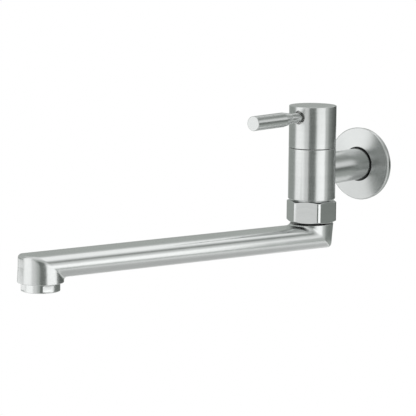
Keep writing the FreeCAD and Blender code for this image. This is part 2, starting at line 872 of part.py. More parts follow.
def spout():
    collar = turned("spout_collar", [
        ("0", "tube_middle"),
        ("spout_half_width", "tube_middle"),
        ("spout_half_width", "elbow_top - collar_edge"),
        ("spout_half_width - collar_edge", "elbow_top"),
        ("0", "elbow_top"),
    ])
    head = turned("spout_head", [
        ("0", "head_bottom"),
        ("head_radius - head_edge", "head_bottom"),
        ("head_radius", "head_bottom + head_edge"),
        ("spout_half_width", "tube_middle"),
        ("0", "tube_middle"),
    ])
    place(head, y="-spout_reach")
    outside = joined("Part::MultiFuse", "spout_outside", [spout_hull("outer_hull", "0"), collar, head])
    tail_socket = turned("spout_tail_socket", [
        ("0", "tube_middle"),
        ("tail_radius + thread_gap", "tube_middle"),
        ("tail_radius + thread_gap", "elbow_top + cut_overshoot"),
        ("0", "elbow_top + cut_overshoot"),
    ])
    aerator_socket = turned("spout_aerator_socket", [
        ("0", "head_bottom - cut_overshoot"),
        ("aerator_thread + thread_gap", "head_bottom - cut_overshoot"),
        ("aerator_thread + thread_gap", "socket_top"),
        ("aerator_bore", "socket_top"),
        ("aerator_bore", "tube_middle"),
        ("0", "tube_middle"),
    ])
    place(aerator_socket, y="-spout_reach")
    members = [spout_hull("inner_hull", "spout_wall"), tail_socket, aerator_socket]
    waterway = joined("Part::MultiFuse", "spout_waterway", members)
    made = doc.addObject("Part::Cut", "spout")
    made.Label = "spout"
    made.Base = outside
    made.Tool = waterway
    on_spout(made)


def spout_turn():
    """The spout's own -Y, swung from straight out towards -X."""
    return FreeCAD.Rotation(FreeCAD.Vector(0, 0, -1), value("spout_swing"))


def on_spout(thing):
    """Places what is centred on the valve's axis and swings with the spout."""
    parts.append(place(thing, y="-arm_length", turn=spout_turn(), angle="spout_swing"))


def at_outlet(thing):
    """Places what is centred on the outlet, at the spout's far end."""
    parts.append(place(
        thing,
        x="-spout_reach * sin(spout_swing)",
        y="-arm_length - spout_reach * cos(spout_swing)",
        turn=spout_turn(),
        angle="spout_swing",
    ))


def swivel_tail():
    ring = "(tail_ring_size + ring_groove_slack) / 2"
    on_spout(turned("swivel_tail", [
        ("tail_bore", "tail_bottom"),
        ("tail_radius", "tail_bottom"),
        ("tail_radius", "slip_ring_bottom - face_gap"),
        ("tail_neck", "slip_ring_bottom - face_gap"),
        ("tail_neck", "slip_ring_top + face_gap"),
        ("tail_radius", "slip_ring_top + face_gap"),
        ("tail_radius", f"tail_ring_lower - {ring}"),
        ("tail_groove", f"tail_ring_lower - {ring}"),
        ("tail_groove", f"tail_ring_lower + {ring}"),
        ("tail_radius", f"tail_ring_lower + {ring}"),
        ("tail_radius", f"tail_ring_upper - {ring}"),
        ("tail_groove", f"tail_ring_upper - {ring}"),
        ("tail_groove", f"tail_ring_upper + {ring}"),
        ("tail_radius", f"tail_ring_upper + {ring}"),
        ("tail_radius", "tail_top"),
        ("tail_bore", "tail_top"),
    ]))


def tail_rings():
    members = [
        ring_seal("tail_ring_" + which, level, "tail_groove + tail_ring_size / 2", "tail_ring_size / 2")
        for which, level in (("low", "tail_ring_lower"), ("high", "tail_ring_upper"))
    ]
    on_spout(together("tail_o_rings", members))


def slip_ring():
    made = turned("slip_ring", [
        ("tail_neck + face_gap", "slip_ring_bottom"),
        ("nut_bore - slip_ring_slack", "slip_ring_bottom"),
        ("nut_bore - slip_ring_slack", "slip_ring_top"),
        ("tail_neck + face_gap", "slip_ring_top"),
    ])
    doc.recompute()
    mouth = sketch(made, "XZ_Plane", "slip_ring_mouth")
    half = "slip_ring_opening / 2"
    low, high = "slip_ring_bottom - cut_overshoot", "slip_ring_top + cut_overshoot"
    rectangle(mouth, f"-{half}", half, low, high)
    pocket(made, mouth, "nut_bore")
    on_spout(made)


def aerator_shell():
    made = turned("aerator_shell", [
        ("aerator_bore - aerator_lip_width", "aerator_bottom"),
        ("aerator_radius - head_edge", "aerator_bottom"),
        ("aerator_radius", "aerator_bottom + head_edge"),
        ("aerator_radius", "aerator_top"),
        ("aerator_thread", "aerator_top"),
        ("aerator_thread", "shell_top"),
        ("aerator_bore", "shell_top"),
        ("aerator_bore", "aerator_lip_top"),
        ("aerator_bore - aerator_lip_width", "aerator_lip_top"),
    ])
    doc.recompute()
    flat = sketch(made, "XZ_Plane", "wrench_flat")
    foot = "aerator_bottom + aerator_flat_foot"
    rectangle(flat, "aerator_flat", "aerator_radius + cut_overshoot", foot, f"{foot} + aerator_flat_height")
    cut = pocket(made, flat, "2 * aerator_radius", midplane=True)
    repeat(made, cut, "aerator_flat_count")
    at_outlet(made)


def perforated(label, low, high):
    """A round plate inside the aerator with a ring of jets through it."""
    made = turned(label, [
        ("0", low),
        ("aerator_bore - face_gap", low),
        ("aerator_bore - face_gap", high),
        ("0", high),
    ])
    doc.recompute()
    jet = sketch(made, "XY_Plane", label + "_jet", low)
    circle(jet, "jet_radius", "jet_circle")
    cut = pocket(made, jet, f"{high} - ({low})", reverse=True)
    repeat(made, cut, "jet_count")
    at_outlet(made)


def aerator_washer():
    at_outlet(turned("aerator_washer", [
        ("aerator_thread - aerator_washer_width", "shell_top"),
        ("aerator_thread", "shell_top"),
        ("aerator_thread", "socket_top"),
        ("aerator_thread - aerator_washer_width", "socket_top"),
    ]))


# Sliding on the arm


def wall_flange():
    inner = "flange_hole + flange_wall"
    parts.append(place(turned("wall_flange", [
        ("flange_radius - flange_wall", "0"),
        ("flange_radius", "0"),
        ("flange_radius", "flange_rim - flange_edge"),
        ("flange_radius - flange_edge", "flange_rim"),
        ("flange_hole + flange_lip_edge", "flange_depth"),
        ("flange_hole", "flange_depth - flange_lip_edge"),
        ("flange_hole", "flange_wall"),
        (inner, "flange_wall"),
        (inner, "flange_depth - flange_wall"),
        ("flange_radius - flange_wall", "flange_rim - flange_wall"),
    ]), turn=outward()))


def flange_ring():
    made = ring_seal("flange_o_ring", "0", "arm_radius + flange_hole_gap / 2", "flange_ring_radius")
    parts.append(place(made, y="-(flange_wall + flange_depth) / 2", turn=outward()))


def check_all():
    """Stops before anything is written if a feature failed or a shape is empty or broken."""
    for thing in doc.Objects:
        if "Invalid" in thing.State or "Error" in thing.State:
            raise RuntimeError(thing.Label + " failed")
    for piece in parts:
        if piece.Shape.isNull() or not piece.Shape.isValid() or not piece.Shape.Solids:
            raise RuntimeError(piece.Label + " has no sound shape")


make_sheets()
for make in (
    valve_body, inlet_arm, cartridge_housing, housing_gasket, seat_seal, lower_disc, coupling_nut,
    upper_disc, spindle, thrust_washer, spindle_rings, spindle_clip, spline_insert, handle_hub,
    hub_screw, screw_washer, handle_cap, lever_grip, lever_stud, spout, swivel_tail, tail_rings,
    slip_ring, aerator_shell, aerator_washer, wall_flange, flange_ring,
):
    make()
perforated("aerator_insert", "insert_bottom", "insert_top")
perforated("aerator_screen", "screen_bottom", "screen_top")
doc.recompute()
check_all()
os.makedirs("parts", exist_ok=True)
for piece in parts:
    piece.Shape.exportStep("parts/" + piece.Label + ".step")
    print(piece.Label, len(piece.Shape.Solids), round(piece.Shape.Volume, 1))
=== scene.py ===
import json
import math

import bmesh
import bpy
import numpy as np
from bpy.props import FloatProperty, FloatVectorProperty, IntProperty, PointerProperty
from mathutils import Euler, Matrix, Vector


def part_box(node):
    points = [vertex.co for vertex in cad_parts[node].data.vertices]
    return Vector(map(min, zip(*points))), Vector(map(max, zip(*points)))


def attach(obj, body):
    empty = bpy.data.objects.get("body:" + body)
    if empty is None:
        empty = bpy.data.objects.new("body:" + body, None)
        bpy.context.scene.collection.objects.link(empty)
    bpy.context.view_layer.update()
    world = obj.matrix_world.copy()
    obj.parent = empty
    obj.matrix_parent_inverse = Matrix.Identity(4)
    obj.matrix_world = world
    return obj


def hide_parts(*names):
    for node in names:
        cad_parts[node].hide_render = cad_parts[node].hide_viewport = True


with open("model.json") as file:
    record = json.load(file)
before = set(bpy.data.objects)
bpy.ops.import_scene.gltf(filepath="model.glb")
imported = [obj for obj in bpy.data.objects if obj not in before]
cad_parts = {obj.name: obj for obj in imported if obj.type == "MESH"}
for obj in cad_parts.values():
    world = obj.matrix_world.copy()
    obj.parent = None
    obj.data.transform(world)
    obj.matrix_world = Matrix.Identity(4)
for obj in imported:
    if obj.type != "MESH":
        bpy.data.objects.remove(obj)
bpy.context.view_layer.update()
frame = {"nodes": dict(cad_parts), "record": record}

# Dresses a wall-mounted tap with a swivel spout: its visible pieces, their finishes and a small studio.
# Lengths are in metres, and everything stands in the frame of the solids: +Z up, -Y out to the user.

bl_info = {
    "name": "Wall tap dressing",
    "version": (1, 0, 0),
    "blender": (4, 5, 0),
    "location": "3D View > Sidebar > Tap",
    "description": "Builds the visible pieces, finishes and studio of a wall-mounted swivel tap",
    "category": "Object",
}

MM = 0.001
RIGHT_ANGLE = math.pi / 2
FULL_TURN = 2 * math.pi
SMALL_EDGE = 0.15 * MM
# Points closer than the first are merged, edges shorter than the second go, and points within the third
# of a wall lie on it. The last keeps a divisor above nothing.
MERGE_DISTANCE = 1e-7
FLAWED_EDGE = 1e-8
WALL_TOLERANCE = 1e-9
TINY = 1e-12


def low(node):
    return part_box(node)[0]


def high(node):
    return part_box(node)[1]


def middle(node):
    return (low(node) + high(node)) / 2


# Where the tap's axes lie: the valve's is upright, the lever's points out and the arm's goes into the wall.
VALVE = Vector((middle("handle_cap").x, middle("handle_cap").y, 0))
LEVER = Vector((VALVE.x, VALVE.y, middle("lever_grip").z))
WALL = Vector((middle("inlet_arm").x, 0, middle("inlet_arm").z))
OUTLET = Vector((middle("aerator_insert").x, middle("aerator_insert").y, 0))
ALONG = (OUTLET - VALVE).normalized()
ACROSS = Vector((-ALONG.y, ALONG.x, 0))
UP = Vector((0, 0, 1))
OUT = Vector((0, -1, 0))
SIDE = Vector((1, 0, 0))


# Kinds of values that a user may change


def length(name, default, description):
    return FloatProperty(
        name=name, description=description, default=default, min=0, unit="LENGTH", precision=5
    )


def place(name, default, description):
    return FloatProperty(
        name=name, description=description, default=default, unit="LENGTH", precision=5
    )


def angle(name, degrees, description):
    return FloatProperty(
        name=name, description=description, default=math.radians(degrees), subtype="ANGLE"
    )


def count(name, default, description):
    return IntProperty(name=name, description=description, default=default, min=2)


def colour(name, default, description):
    return FloatVectorProperty(
        name=name, description=description, default=default, size=3, min=0, max=1, subtype="COLOR"
    )


def share(name, default, description):
    return FloatProperty(
        name=name, description=description, default=default, min=0, max=1, subtype="FACTOR"
    )


class TapBodySizes(bpy.types.PropertyGroup):
    """The upright cylinder: the body below and the handle's cap above."""

    radius: length("Radius", high("handle_cap").x, "Outer radius of the body and the cap")
    edge: length("Edge", 0.3 * MM, "Rounding of the outer edges")
    chamber_radius: length("Chamber", 10.3 * MM, "Radius of the valve chamber")
    seat_level: place("Seat", -8.5 * MM, "Height of the valve's seat")
    outlet_radius: length("Outlet", 5.5 * MM, "Radius of the hole under the seat")
    shoulder_level: place("Shoulder", -18.1 * MM, "Height of the body's lower edge")
    spigot_radius: length("Spigot", 12.0 * MM, "Outer radius of the spigot that the nut screws on")
    spigot_edge: length("Spigot edge", 0.5 * MM, "Rounding of the spigot's foot")
    swivel_radius: length("Swivel bore", 9.2 * MM, "Radius of the bore that the spout turns in")
    swivel_depth: length("Swivel depth", 8.5 * MM, "Depth of the bore that the spout turns in")
    port_radius: length("Inlet port", 6.5 * MM, "Radius of the hole behind the arm")
    cap_bore: length("Cap bore", 13.85 * MM, "Inner radius of the cap")
    cap_roof: length("Cap roof", 2.0 * MM, "Thickness of the cap's top")
    lever_hole: length("Lever hole", 4.35 * MM, "Radius of the hole in the cap's side")
    hole_edge: length("Hole edge", 0.2 * MM, "Rounding of the edge of the lever's hole")


class TapLeverSizes(bpy.types.PropertyGroup):
    """The rod lever and the stud that carries it."""

    stud_radius: length("Stud", 3.2 * MM, "Outer radius of the stud's thread")
    stud_pitch: length("Stud pitch", 0.9 * MM, "Pitch of the stud's thread")
    stud_depth: length("Stud thread depth", 0.42 * MM, "Depth of the stud's thread")
    tang_radius: length("Tang", 2.0 * MM, "Radius of the stud's end inside the lever")
    tang_length: length("Tang length", 6.0 * MM, "Length of the stud's end inside the lever")
    tang_room: length("Tang room", 1.0 * MM, "Free depth beyond the stud's end")
    neck_radius: length("Neck", 3.4 * MM, "Radius of the lever's neck")
    neck_length: length("Neck length", 11.5 * MM, "Length of the lever's neck")
    cone_start: length("Cone start", 3.75 * MM, "Radius where the cone leaves the neck")
    cone_length: length("Cone length", 7.5 * MM, "Length of the cone")
    grip_edge: length("End edge", 0.45 * MM, "Rounding of the lever's end")


class TapNutSizes(bpy.types.PropertyGroup):
    """The hexagonal nut that holds the spout."""

    flats: length("Across flats", 30.0 * MM, "Width across the flats")
    corner: length("Corner radius", 16.8 * MM, "Radius that the six corners are turned to")
    chamfer: length("Chamfer height", 0.9 * MM, "Height of the turned chamfers")
    blend: length("Edge", 0.28 * MM, "Rounding where two faces meet")
    bore: length("Bore", 12.05 * MM, "Radius of the threaded bore")
    lip: length("Lip", 2.5 * MM, "Thickness of the lip under the bore")
    hole: length("Hole", 9.75 * MM, "Radius of the hole in the lip")
    turn: angle("Turn", 24.8, "Angle the nut was tightened to")


class TapSpoutSizes(bpy.types.PropertyGroup):
    """The flattened spout with its half-round elbow end and its outlet head."""

    half_width: length("Half width", high("spout").x, "Half of the tube's width")
    half_height: length("Half height", 7.5 * MM, "Half of the tube's height")
    wall: length("Wall", 2.0 * MM, "Thickness of the tube's wall")
    rim: length("Rim", 2.4 * MM, "Rounding of the rims at both ends")
    elbow_crease: length("Elbow crease", 3.0 * MM, "Softness of the crease round the elbow's collar")
    head_crease: length("Head crease", 2.4 * MM, "Softness of the crease round the head")
    draft: share("Draft", 0.09, "How much the elbow's far wall leans out for its height")
    collar: length("Collar", 1.4 * MM, "Height of the elbow's collar above the tube")
    collar_edge: length("Collar edge", 0.3 * MM, "Rounding of the collar's top")
    socket: length("Tail socket", 9.2 * MM, "Radius of the hole that holds the tail")
    flare: length("Head flare", 0.55 * MM, "How much wider the head is at its foot")
    head_edge: length("Head edge", 0.4 * MM, "Rounding of the head's foot")
    outlet: length("Outlet socket", 11.95 * MM, "Radius of the socket for the aerator")
    outlet_ledge: length("Outlet ledge", 4.3 * MM, "Depth of the socket for the aerator")
    waterway: length("Waterway", 10.3 * MM, "Radius of the hole above the aerator")
    columns: count("Columns", 168, "Points round the tube")
    bend_rows: count("Bend rows", 112, "Sections through each end")
    tube_rows: count("Tube rows", 36, "Sections along the tube")


class TapOutletSizes(bpy.types.PropertyGroup):
    """The aerator's shell and its woven screen."""

    thread_radius: length("Thread", 11.9 * MM, "Outer radius of the shell's thread")
    thread_top: place("Thread top", -50.8 * MM, "Height of the shell's top")
    bore: length("Bore", 10.3 * MM, "Inner radius of the shell")
    lip: length("Lip", 1.1 * MM, "Width of the lip at the shell's foot")
    lip_height: length("Lip height", 2.0 * MM, "Height of the lip at the shell's foot")
    shoulder: place("Shoulder", -54.25 * MM, "Height of the shoulder under the head")
    edge: length("Edge", 0.4 * MM, "Rounding of the shell's foot")
    flat: length("Flat", 11.8 * MM, "Distance of the wrench flats from the axis")
    flat_turn: angle("Flat turn", -10, "Angle that the shell is screwed in to")
    flat_foot: length("Flat foot", 0.9 * MM, "Height of the flats above the shell's foot")
    flat_height: length("Flat height", 3.6 * MM, "Height of the wrench flats")
    mesh_pitch: length("Mesh pitch", 0.9 * MM, "Spacing of the screen's wires")
    wire_radius: length("Wire", 0.11 * MM, "Radius of the screen's wires")
    screen_rim: length("Screen rim", 0.16 * MM, "Section radius of the ring that the wires end in")


class TapWallSizes(bpy.types.PropertyGroup):
    """The arm, its pipe thread and the wall flange."""

    arm_bore: length("Arm bore", 6.5 * MM, "Inner radius of the arm")
    pipe_pitch: length("Pipe pitch", 1.814 * MM, "Pitch of the pipe thread")
    pipe_depth: length("Pipe thread depth", 1.162 * MM, "Depth of the pipe thread")
    pipe_radius: length("Pipe thread", 10.4775 * MM, "Radius over the pipe thread's crests")
    pipe_chamfer: length("Pipe chamfer", 1.0 * MM, "Chamfer at the start of the pipe thread")
    weld: length("Weld", 0.5 * MM, "Leg of the fillet where the arm meets the body")
    weld_gap: length("Weld gap", 0.05 * MM, "Gap that the arm's coped end keeps from the body")
    flange_rim: length("Flange rim", 3.7 * MM, "Height of the flange's rim")
    flange_wall: length("Flange wall", 1.6 * MM, "Thickness of the flange")
    flange_edge: length("Flange edge", 0.8 * MM, "Rounding of the flange's rim")
    flange_draft: length("Flange draft", 0.5 * MM, "How much narrower the flange is at the wall")
    flange_hole: length("Flange hole", 11.6 * MM, "Radius of the flange's hole")
    ring_radius: length("Ring radius", 0.455 * MM, "Radius of the rubber ring's section")


class TapFinishColours(bpy.types.PropertyGroup):
    """Colours of the finishes, as shares of light that the surface gives back."""

    satin: colour("Satin steel", (0.597, 0.612, 0.606), "The spout's brushed steel")
    turned: colour("Turned steel", (0.577, 0.592, 0.586), "Steel brushed round its axis")
    nut: colour("Nut steel", (0.636, 0.652, 0.646), "The nut's smoother steel")
    hidden: colour("Machined steel", (0.46, 0.46, 0.45), "Machined steel inside the tap")
    # Painted shade: this black stands for the shade in the gap under the nut, on the hidden tail and on the
    # collar's top.
    painted_shade_colour: colour("Painted shade black", (0.05, 0.05, 0.05), "Painted shade black, for the tail and the collar's top in the gap under the nut")
    brass: colour("Brass", (0.72, 0.56, 0.29), "Machined brass")
    ceramic: colour("Ceramic", (0.80, 0.79, 0.76), "The lapped discs")
    rubber: colour("Rubber", (0.022, 0.022, 0.022), "Seals")
    nylon: colour("Nylon", (0.74, 0.74, 0.71), "Inserts and slip ring")
    satin_roughness: share("Satin roughness", 0.23, "How much the spout blurs what it mirrors")
    turned_roughness: share("Turned roughness", 0.25, "How much turned steel blurs what it mirrors")
    nut_roughness: share("Nut roughness", 0.18, "How much the nut blurs what it mirrors")


class TapStudio(bpy.types.PropertyGroup):
    """The camera, the floor and the light."""

    camera_place: FloatVectorProperty(
        name="Camera", description="Where the camera stands", default=(1.02977, -1.43577, 0.22778),
        subtype="TRANSLATION", unit="LENGTH",
    )
    yaw: angle("Yaw", 39.05, "How far the camera is turned to its left")
    pitch: angle("Pitch", 8.38, "How far the camera looks down")
    roll: angle("Roll", 0.54, "How far the camera leans")
    lens: FloatProperty(name="Lens", description="Focal length in millimetres", default=225.0)
    sensor: FloatProperty(name="Sensor", description="Width of the sensor in millimetres", default=36.0)
    floor_level: place("Floor", -0.35, "Height of the floor")
    floor_radius: length("Floor radius", 0.62, "Radius of the floor")
    floor_middle: length("Floor middle", 0.28, "Radius within which the floor shows its own colour")
    floor: colour("Floor colour", (0.75, 0.75, 0.75), "The floor's own colour")
    floor_lift: share("Floor lift", 0.42, "Light that the floor's edge adds where it is seen")
    background: share("Background", 1.0, "Level of the background")
    dim: colour("Dim light", (0.93, 1.0, 0.94), "Cast of the studio's dim parts")


def settings(name):
    """The values of one group."""
    return getattr(bpy.context.scene, "tap_" + name)


# Shader graphs


class Number:
    """A socket in a graph. Arithmetic on it adds Math nodes."""

    def __init__(self, graph, socket):
        self.graph = graph
        self.socket = socket

    def maths(self, operation, *values):
        return self.graph.node("ShaderNodeMath", {"operation": operation}, dict(enumerate(values)))

    def __add__(self, other):
        return self.maths("ADD", self, other)

    def __radd__(self, other):
        return self.maths("ADD", other, self)

    def __sub__(self, other):
        return self.maths("SUBTRACT", self, other)

    def __rsub__(self, other):
        return self.maths("SUBTRACT", other, self)

    def __mul__(self, other):
        return self.maths("MULTIPLY", self, other)

    def __rmul__(self, other):
        return self.maths("MULTIPLY", other, self)

    def __pow__(self, other):
        return self.maths("POWER", self, other)


class Graph:
    """The nodes of one material or of the world."""

    def __init__(self, owner):
        owner.use_nodes = True
        self.tree = owner.node_tree
        self.tree.nodes.clear()

    def node(self, kind, options=None, sockets=None, outputs=0):
        """Adds a node of a type. Its options are set first, then its sockets, each of which gets a
        value or another node's output. Gives back the output, or outputs, that are asked for."""
        made = self.tree.nodes.new(kind)
        for name, value in (options or {}).items():
            if name == "stops":
                while len(made.color_ramp.elements) < len(value):
                    made.color_ramp.elements.new(1)
                for element, (position, shade) in zip(made.color_ramp.elements, value):
                    element.position = position
                    element.color = shade
            else:
                setattr(made, name, value)
        for key, value in (sockets or {}).items():
            if isinstance(value, Number):
                self.tree.links.new(value.socket, made.inputs[key])
            else:
                made.inputs[key].default_value = value
        if outputs is None:
            return None
        if isinstance(outputs, tuple):
            return tuple(Number(self, made.outputs[output]) for output in outputs)
        return Number(self, made.outputs[outputs])

    def step(self, value, start, end):
        """Runs smoothly from 0 at start to 1 at end."""
        return self.node(
            "ShaderNodeMapRange",
            {"interpolation_type": "SMOOTHSTEP"},
            {"Value": value, "From Min": start, "From Max": end},
        )

    def combine(self, x, y, z):
        return self.node("ShaderNodeCombineXYZ", sockets={0: x, 1: y, 2: z})

    def split(self, vector):
        return self.node("ShaderNodeSeparateXYZ", sockets={0: vector}, outputs=(0, 1, 2))

    def noise(self, vector, scale, detail=2.0, roughness=0.5):
        return self.node(
            "ShaderNodeTexNoise",
            {"noise_dimensions": "3D"},
            {"Vector": vector, "Scale": scale, "Detail": detail, "Roughness": roughness},
        )

    def tint(self, factor, first, second):
        """Mixes two colours, each given as three numbers or as another node's output."""
        first, second = (part if isinstance(part, Number) else (*part, 1) for part in (first, second))
        return self.node("ShaderNodeMix", {"data_type": "RGBA"}, {0: factor, 6: first, 7: second}, 2)

    def own_place(self, origin, turn):
        """Object coordinates, moved and turned so that a piece's own axis runs up through the origin."""
        spot = self.node("ShaderNodeTexCoord", outputs="Object")
        shift = -(turn.to_matrix() @ origin)
        return self.node(
            "ShaderNodeMapping", {"vector_type": "POINT"}, {0: spot, "Location": shift, "Rotation": turn}
        )


UPRIGHT = Euler((0, 0, 0))
LEVEL = Euler((RIGHT_ANGLE, 0, 0))
LENGTHWISE = Euler((0, 0, -math.atan2(ALONG.y, ALONG.x)))


def shaded(colour, factor):
    """A colour made lighter or darker by a factor."""
    return tuple(min(part * factor, 1) for part in colour)


def principled(graph, sockets):
    """Ends a material's graph in a Principled shader."""
    shader = graph.node("ShaderNodeBsdfPrincipled", sockets=sockets)
    graph.node("ShaderNodeOutputMaterial", sockets={"Surface": shader}, outputs=None)


def bumped(graph, height, distance, normal=None):
    """The normal of a surface raised by a height, on top of another such normal if there is one."""
    sockets = {"Height": height, "Distance": distance, "Strength": 1.0}
    if normal:
        sockets["Normal"] = normal
    return graph.node("ShaderNodeBump", sockets=sockets)


# The brush lines and patches of steel: their shares of its tone and how much each changes its roughness,
# how far the tone changes the colour, and how many times deeper the broad lines are than the fine ones.
LINE_TONE = 0.35
PATCH_TONE = 0.3
FINE_BLUR = 0.03
BROAD_BLUR = 0.04
TONE_SPREAD = 0.03
BROAD_DEPTH = 2.5


def brushed_steel(name, colour, roughness, grain, spot, relief, anisotropy=0.0, painted_shade_heights=None):
    """Steel with brush lines at two widths and faint wide patches. The grain is the place stretched
    along the brush, and the spot is the place itself. A face turns black towards the second of two
    heights, painted shade where it lies under another part."""
    graph = Graph(bpy.data.materials.new(name))
    grain, spot = grain(graph), spot(graph)
    fine = graph.noise(grain, scale=1.0)
    broad = graph.noise(grain, scale=0.28, detail=1.0)
    cloud = graph.noise(spot, scale=60.0, detail=1.0, roughness=0.4)
    tone = LINE_TONE * fine + LINE_TONE * broad + PATCH_TONE * cloud
    blur = roughness + FINE_BLUR * (fine - 0.5) + BROAD_BLUR * (broad - 0.5) + BROAD_BLUR * (cloud - 0.5)
    normal = bumped(graph, broad, BROAD_DEPTH * relief * MM)
    normal = bumped(graph, fine, relief * MM, normal)
    steel = graph.tint(
        graph.step(tone, 0.35, 0.65), shaded(colour, 1 - TONE_SPREAD), shaded(colour, 1 + TONE_SPREAD)
    )
    if painted_shade_heights:
        height = graph.split(graph.node("ShaderNodeTexCoord", outputs="Object"))[2]
        # Painted shade: between the two heights the face goes black, standing for the shade under the part
        # above it.
        steel = graph.tint(graph.step(height, *painted_shade_heights), steel, settings("finish").painted_shade_colour)
    principled(graph, {
        "Base Color": steel,
        "Metallic": 1.0,
        "Roughness": blur,
        "Anisotropic": anisotropy,
        "Anisotropic Rotation": 0.25,
        "Normal": normal,
    })


def round_grain(origin, turn, fast=1500.0, slow=40.0, outward=1.3):
    """Brush lines that run round an axis, on the sides as well as on the end faces. There are fast
    lines to a unit up the axis and outward times as many away from it, broken slow times round it."""
    def grain(graph):
        x, y, z = graph.split(graph.own_place(origin, turn))
        radius = (x * x + y * y) ** 0.5
        return graph.combine(x * slow, y * slow, (z + outward * radius) * fast)
    return grain


def long_grain(origin, turn, fast=1300.0, slow=14.0):
    """Brush lines that run along a piece's own X axis."""
    def grain(graph):
        x, y, z = graph.split(graph.own_place(origin, turn))
        return graph.combine(x * slow, y * fast, z * fast)
    return grain


def plain_spot(origin, turn):
    """The place on a piece, for patterns that aren't stretched."""
    return lambda graph: graph.own_place(origin, turn)


def steel_round(name, colour, roughness, origin, turn, relief=0.0005, anisotropy=0.0):
    """Steel that was turned or polished round an axis through an origin."""
    grain = round_grain(origin, turn)
    brushed_steel(name, colour, roughness, grain, plain_spot(origin, turn), relief, anisotropy)


# The mottling of plain finishes: how coarse its patches are, and how much it changes the roughness
PATCH_SCALE = 0.12
GRAIN_BLUR = 0.15
PATCH_BLUR = 0.1


def machined(name, colour, metallic, roughness, scale, relief, spread=0.08):
    """A plain finish: fine mottling of colour, blur and height, and wider patches of colour and blur."""
    graph = Graph(bpy.data.materials.new(name))
    spot = graph.own_place(Vector(), UPRIGHT)
    grain = graph.noise(spot, scale, detail=3.0)
    patches = graph.noise(spot, PATCH_SCALE * scale)
    principled(graph, {
        "Base Color": graph.tint(
            0.5 * grain + 0.5 * patches, shaded(colour, 1 - spread), shaded(colour, 1 + spread)
        ),
        "Metallic": metallic,
        "Roughness": roughness + GRAIN_BLUR * (grain - 0.5) + PATCH_BLUR * (patches - 0.5),
        "Normal": bumped(graph, grain, relief * MM),
    })


def make_finishes():
    """All the materials, by the names that the pieces use. The top of the spout's collar turns black,
    painted shade in the gap under the nut.
    """
    look = settings("finish")
    grain, spot = long_grain(VALVE, LENGTHWISE), plain_spot(VALVE, LENGTHWISE)
    collar_top = high("spout").z
    # Painted shade: the collar's top, which lies in the narrow gap under the nut, is painted black within
    # these heights.
    painted_shade_heights = (collar_top - 0.15 * MM, collar_top - 0.02 * MM)
    brushed_steel(
        "brushed_lengthwise", look.satin, look.satin_roughness, grain, spot, relief=0.0006, painted_shade_heights=painted_shade_heights
    )
    steel_round("turned_upright", look.turned, look.turned_roughness, VALVE, UPRIGHT, anisotropy=0.6)
    steel_round("turned_outlet", look.nut, look.nut_roughness, OUTLET, UPRIGHT, relief=0.0003)
    steel_round("turned_lever", look.turned, look.turned_roughness, LEVER, LEVEL)
    steel_round("turned_wall", look.turned, look.turned_roughness, WALL, LEVEL)
    steel_round("turned_smooth", look.nut, look.nut_roughness, VALVE, UPRIGHT, relief=0.0003)
    machined("machined_steel", look.hidden, metallic=1.0, roughness=0.34, scale=1800.0, relief=0.004)
    # Painted shade: a black finish for the tail, which shows only through the gap under the nut.
    machined("blackened_steel", look.painted_shade_colour, metallic=1.0, roughness=0.4, scale=1800.0, relief=0.004)
    machined("machined_brass", look.brass, metallic=1.0, roughness=0.3, scale=1500.0, relief=0.004)
    machined(
        "lapped_ceramic", look.ceramic, metallic=0.0, roughness=0.22, scale=900.0, relief=0.0005,
        spread=0.03,
    )
    machined(
        "moulded_rubber", look.rubber, metallic=0.0, roughness=0.55, scale=2500.0, relief=0.006,
        spread=0.2,
    )
    machined(
        "moulded_nylon", look.nylon, metallic=0.0, roughness=0.42, scale=1400.0, relief=0.002,
        spread=0.03,
    )


# Surfaces


def solid(name, points, faces):
    """Makes one closed mesh, with its doubles merged, its faces outward and each point's normal the
    sum of its faces' normals weighed by their area."""
    mesh = bpy.data.meshes.new(name)
    mesh.from_pydata(points.tolist(), [], faces)
    work = bmesh.new()
    work.from_mesh(mesh)
    bmesh.ops.remove_doubles(work, verts=work.verts, dist=MERGE_DISTANCE)
    bmesh.ops.dissolve_degenerate(work, edges=work.edges, dist=FLAWED_EDGE)
    bmesh.ops.recalc_face_normals(work, faces=work.faces)
    work.to_mesh(mesh)
    work.free()
    mesh.polygons.foreach_set("use_smooth", np.ones(len(mesh.polygons), bool))
    weigh_normals(mesh)
    made = bpy.data.objects.new(name, mesh)
    bpy.context.scene.collection.objects.link(made)
    return made


def weigh_normals(mesh):
    """Sets each point's normal to the sum of the cross products of its triangles' sides."""
    mesh.calc_loop_triangles()
    corners = np.empty(len(mesh.loop_triangles) * 3, np.int32)
    mesh.loop_triangles.foreach_get("vertices", corners)
    corners = corners.reshape(-1, 3)
    spots = np.empty(len(mesh.vertices) * 3)
    mesh.vertices.foreach_get("co", spots)
    a, b, c = np.moveaxis(spots.reshape(-1, 3)[corners], 1, 0)
    normals = np.zeros((len(mesh.vertices), 3))
    for corner in corners.T:
        np.add.at(normals, corner, np.cross(b - a, c - a))
    normals /= np.maximum(np.linalg.norm(normals, axis=1, keepdims=True), TINY)
    mesh.normals_split_custom_set_from_vertices(normals)


def strips(index):
    """Quads between each row of an index grid and the next, each row a closed loop."""
    here, there = index[:-1], index[1:]
    quads = np.stack([here, np.roll(here, -1, 1), np.roll(there, -1, 1), there], axis=-1)
    return quads.reshape(-1, 4)


def ring_skin(name, loops):
    """A tube's wall: loops of points, of shape (loops, points, 3), each joined with the next and the
    last with the first."""
    rows, columns = loops.shape[:2]
    index = np.arange(rows * columns).reshape(rows, columns)
    faces = strips(np.vstack([index, index[:1]]))
    return solid(name, loops.reshape(-1, 3), faces.tolist())


def pole_fans(index, first_pole, last_pole):
    """Triangles from the first row of an index grid to one pole, and from the last row to another."""
    fans = []
    for row, pole in ((index[0], first_pole), (index[-1], last_pole)):
        following = np.roll(row, -1)
        fans += np.stack([row, following, np.full(len(row), pole)], axis=-1).tolist()
    return fans


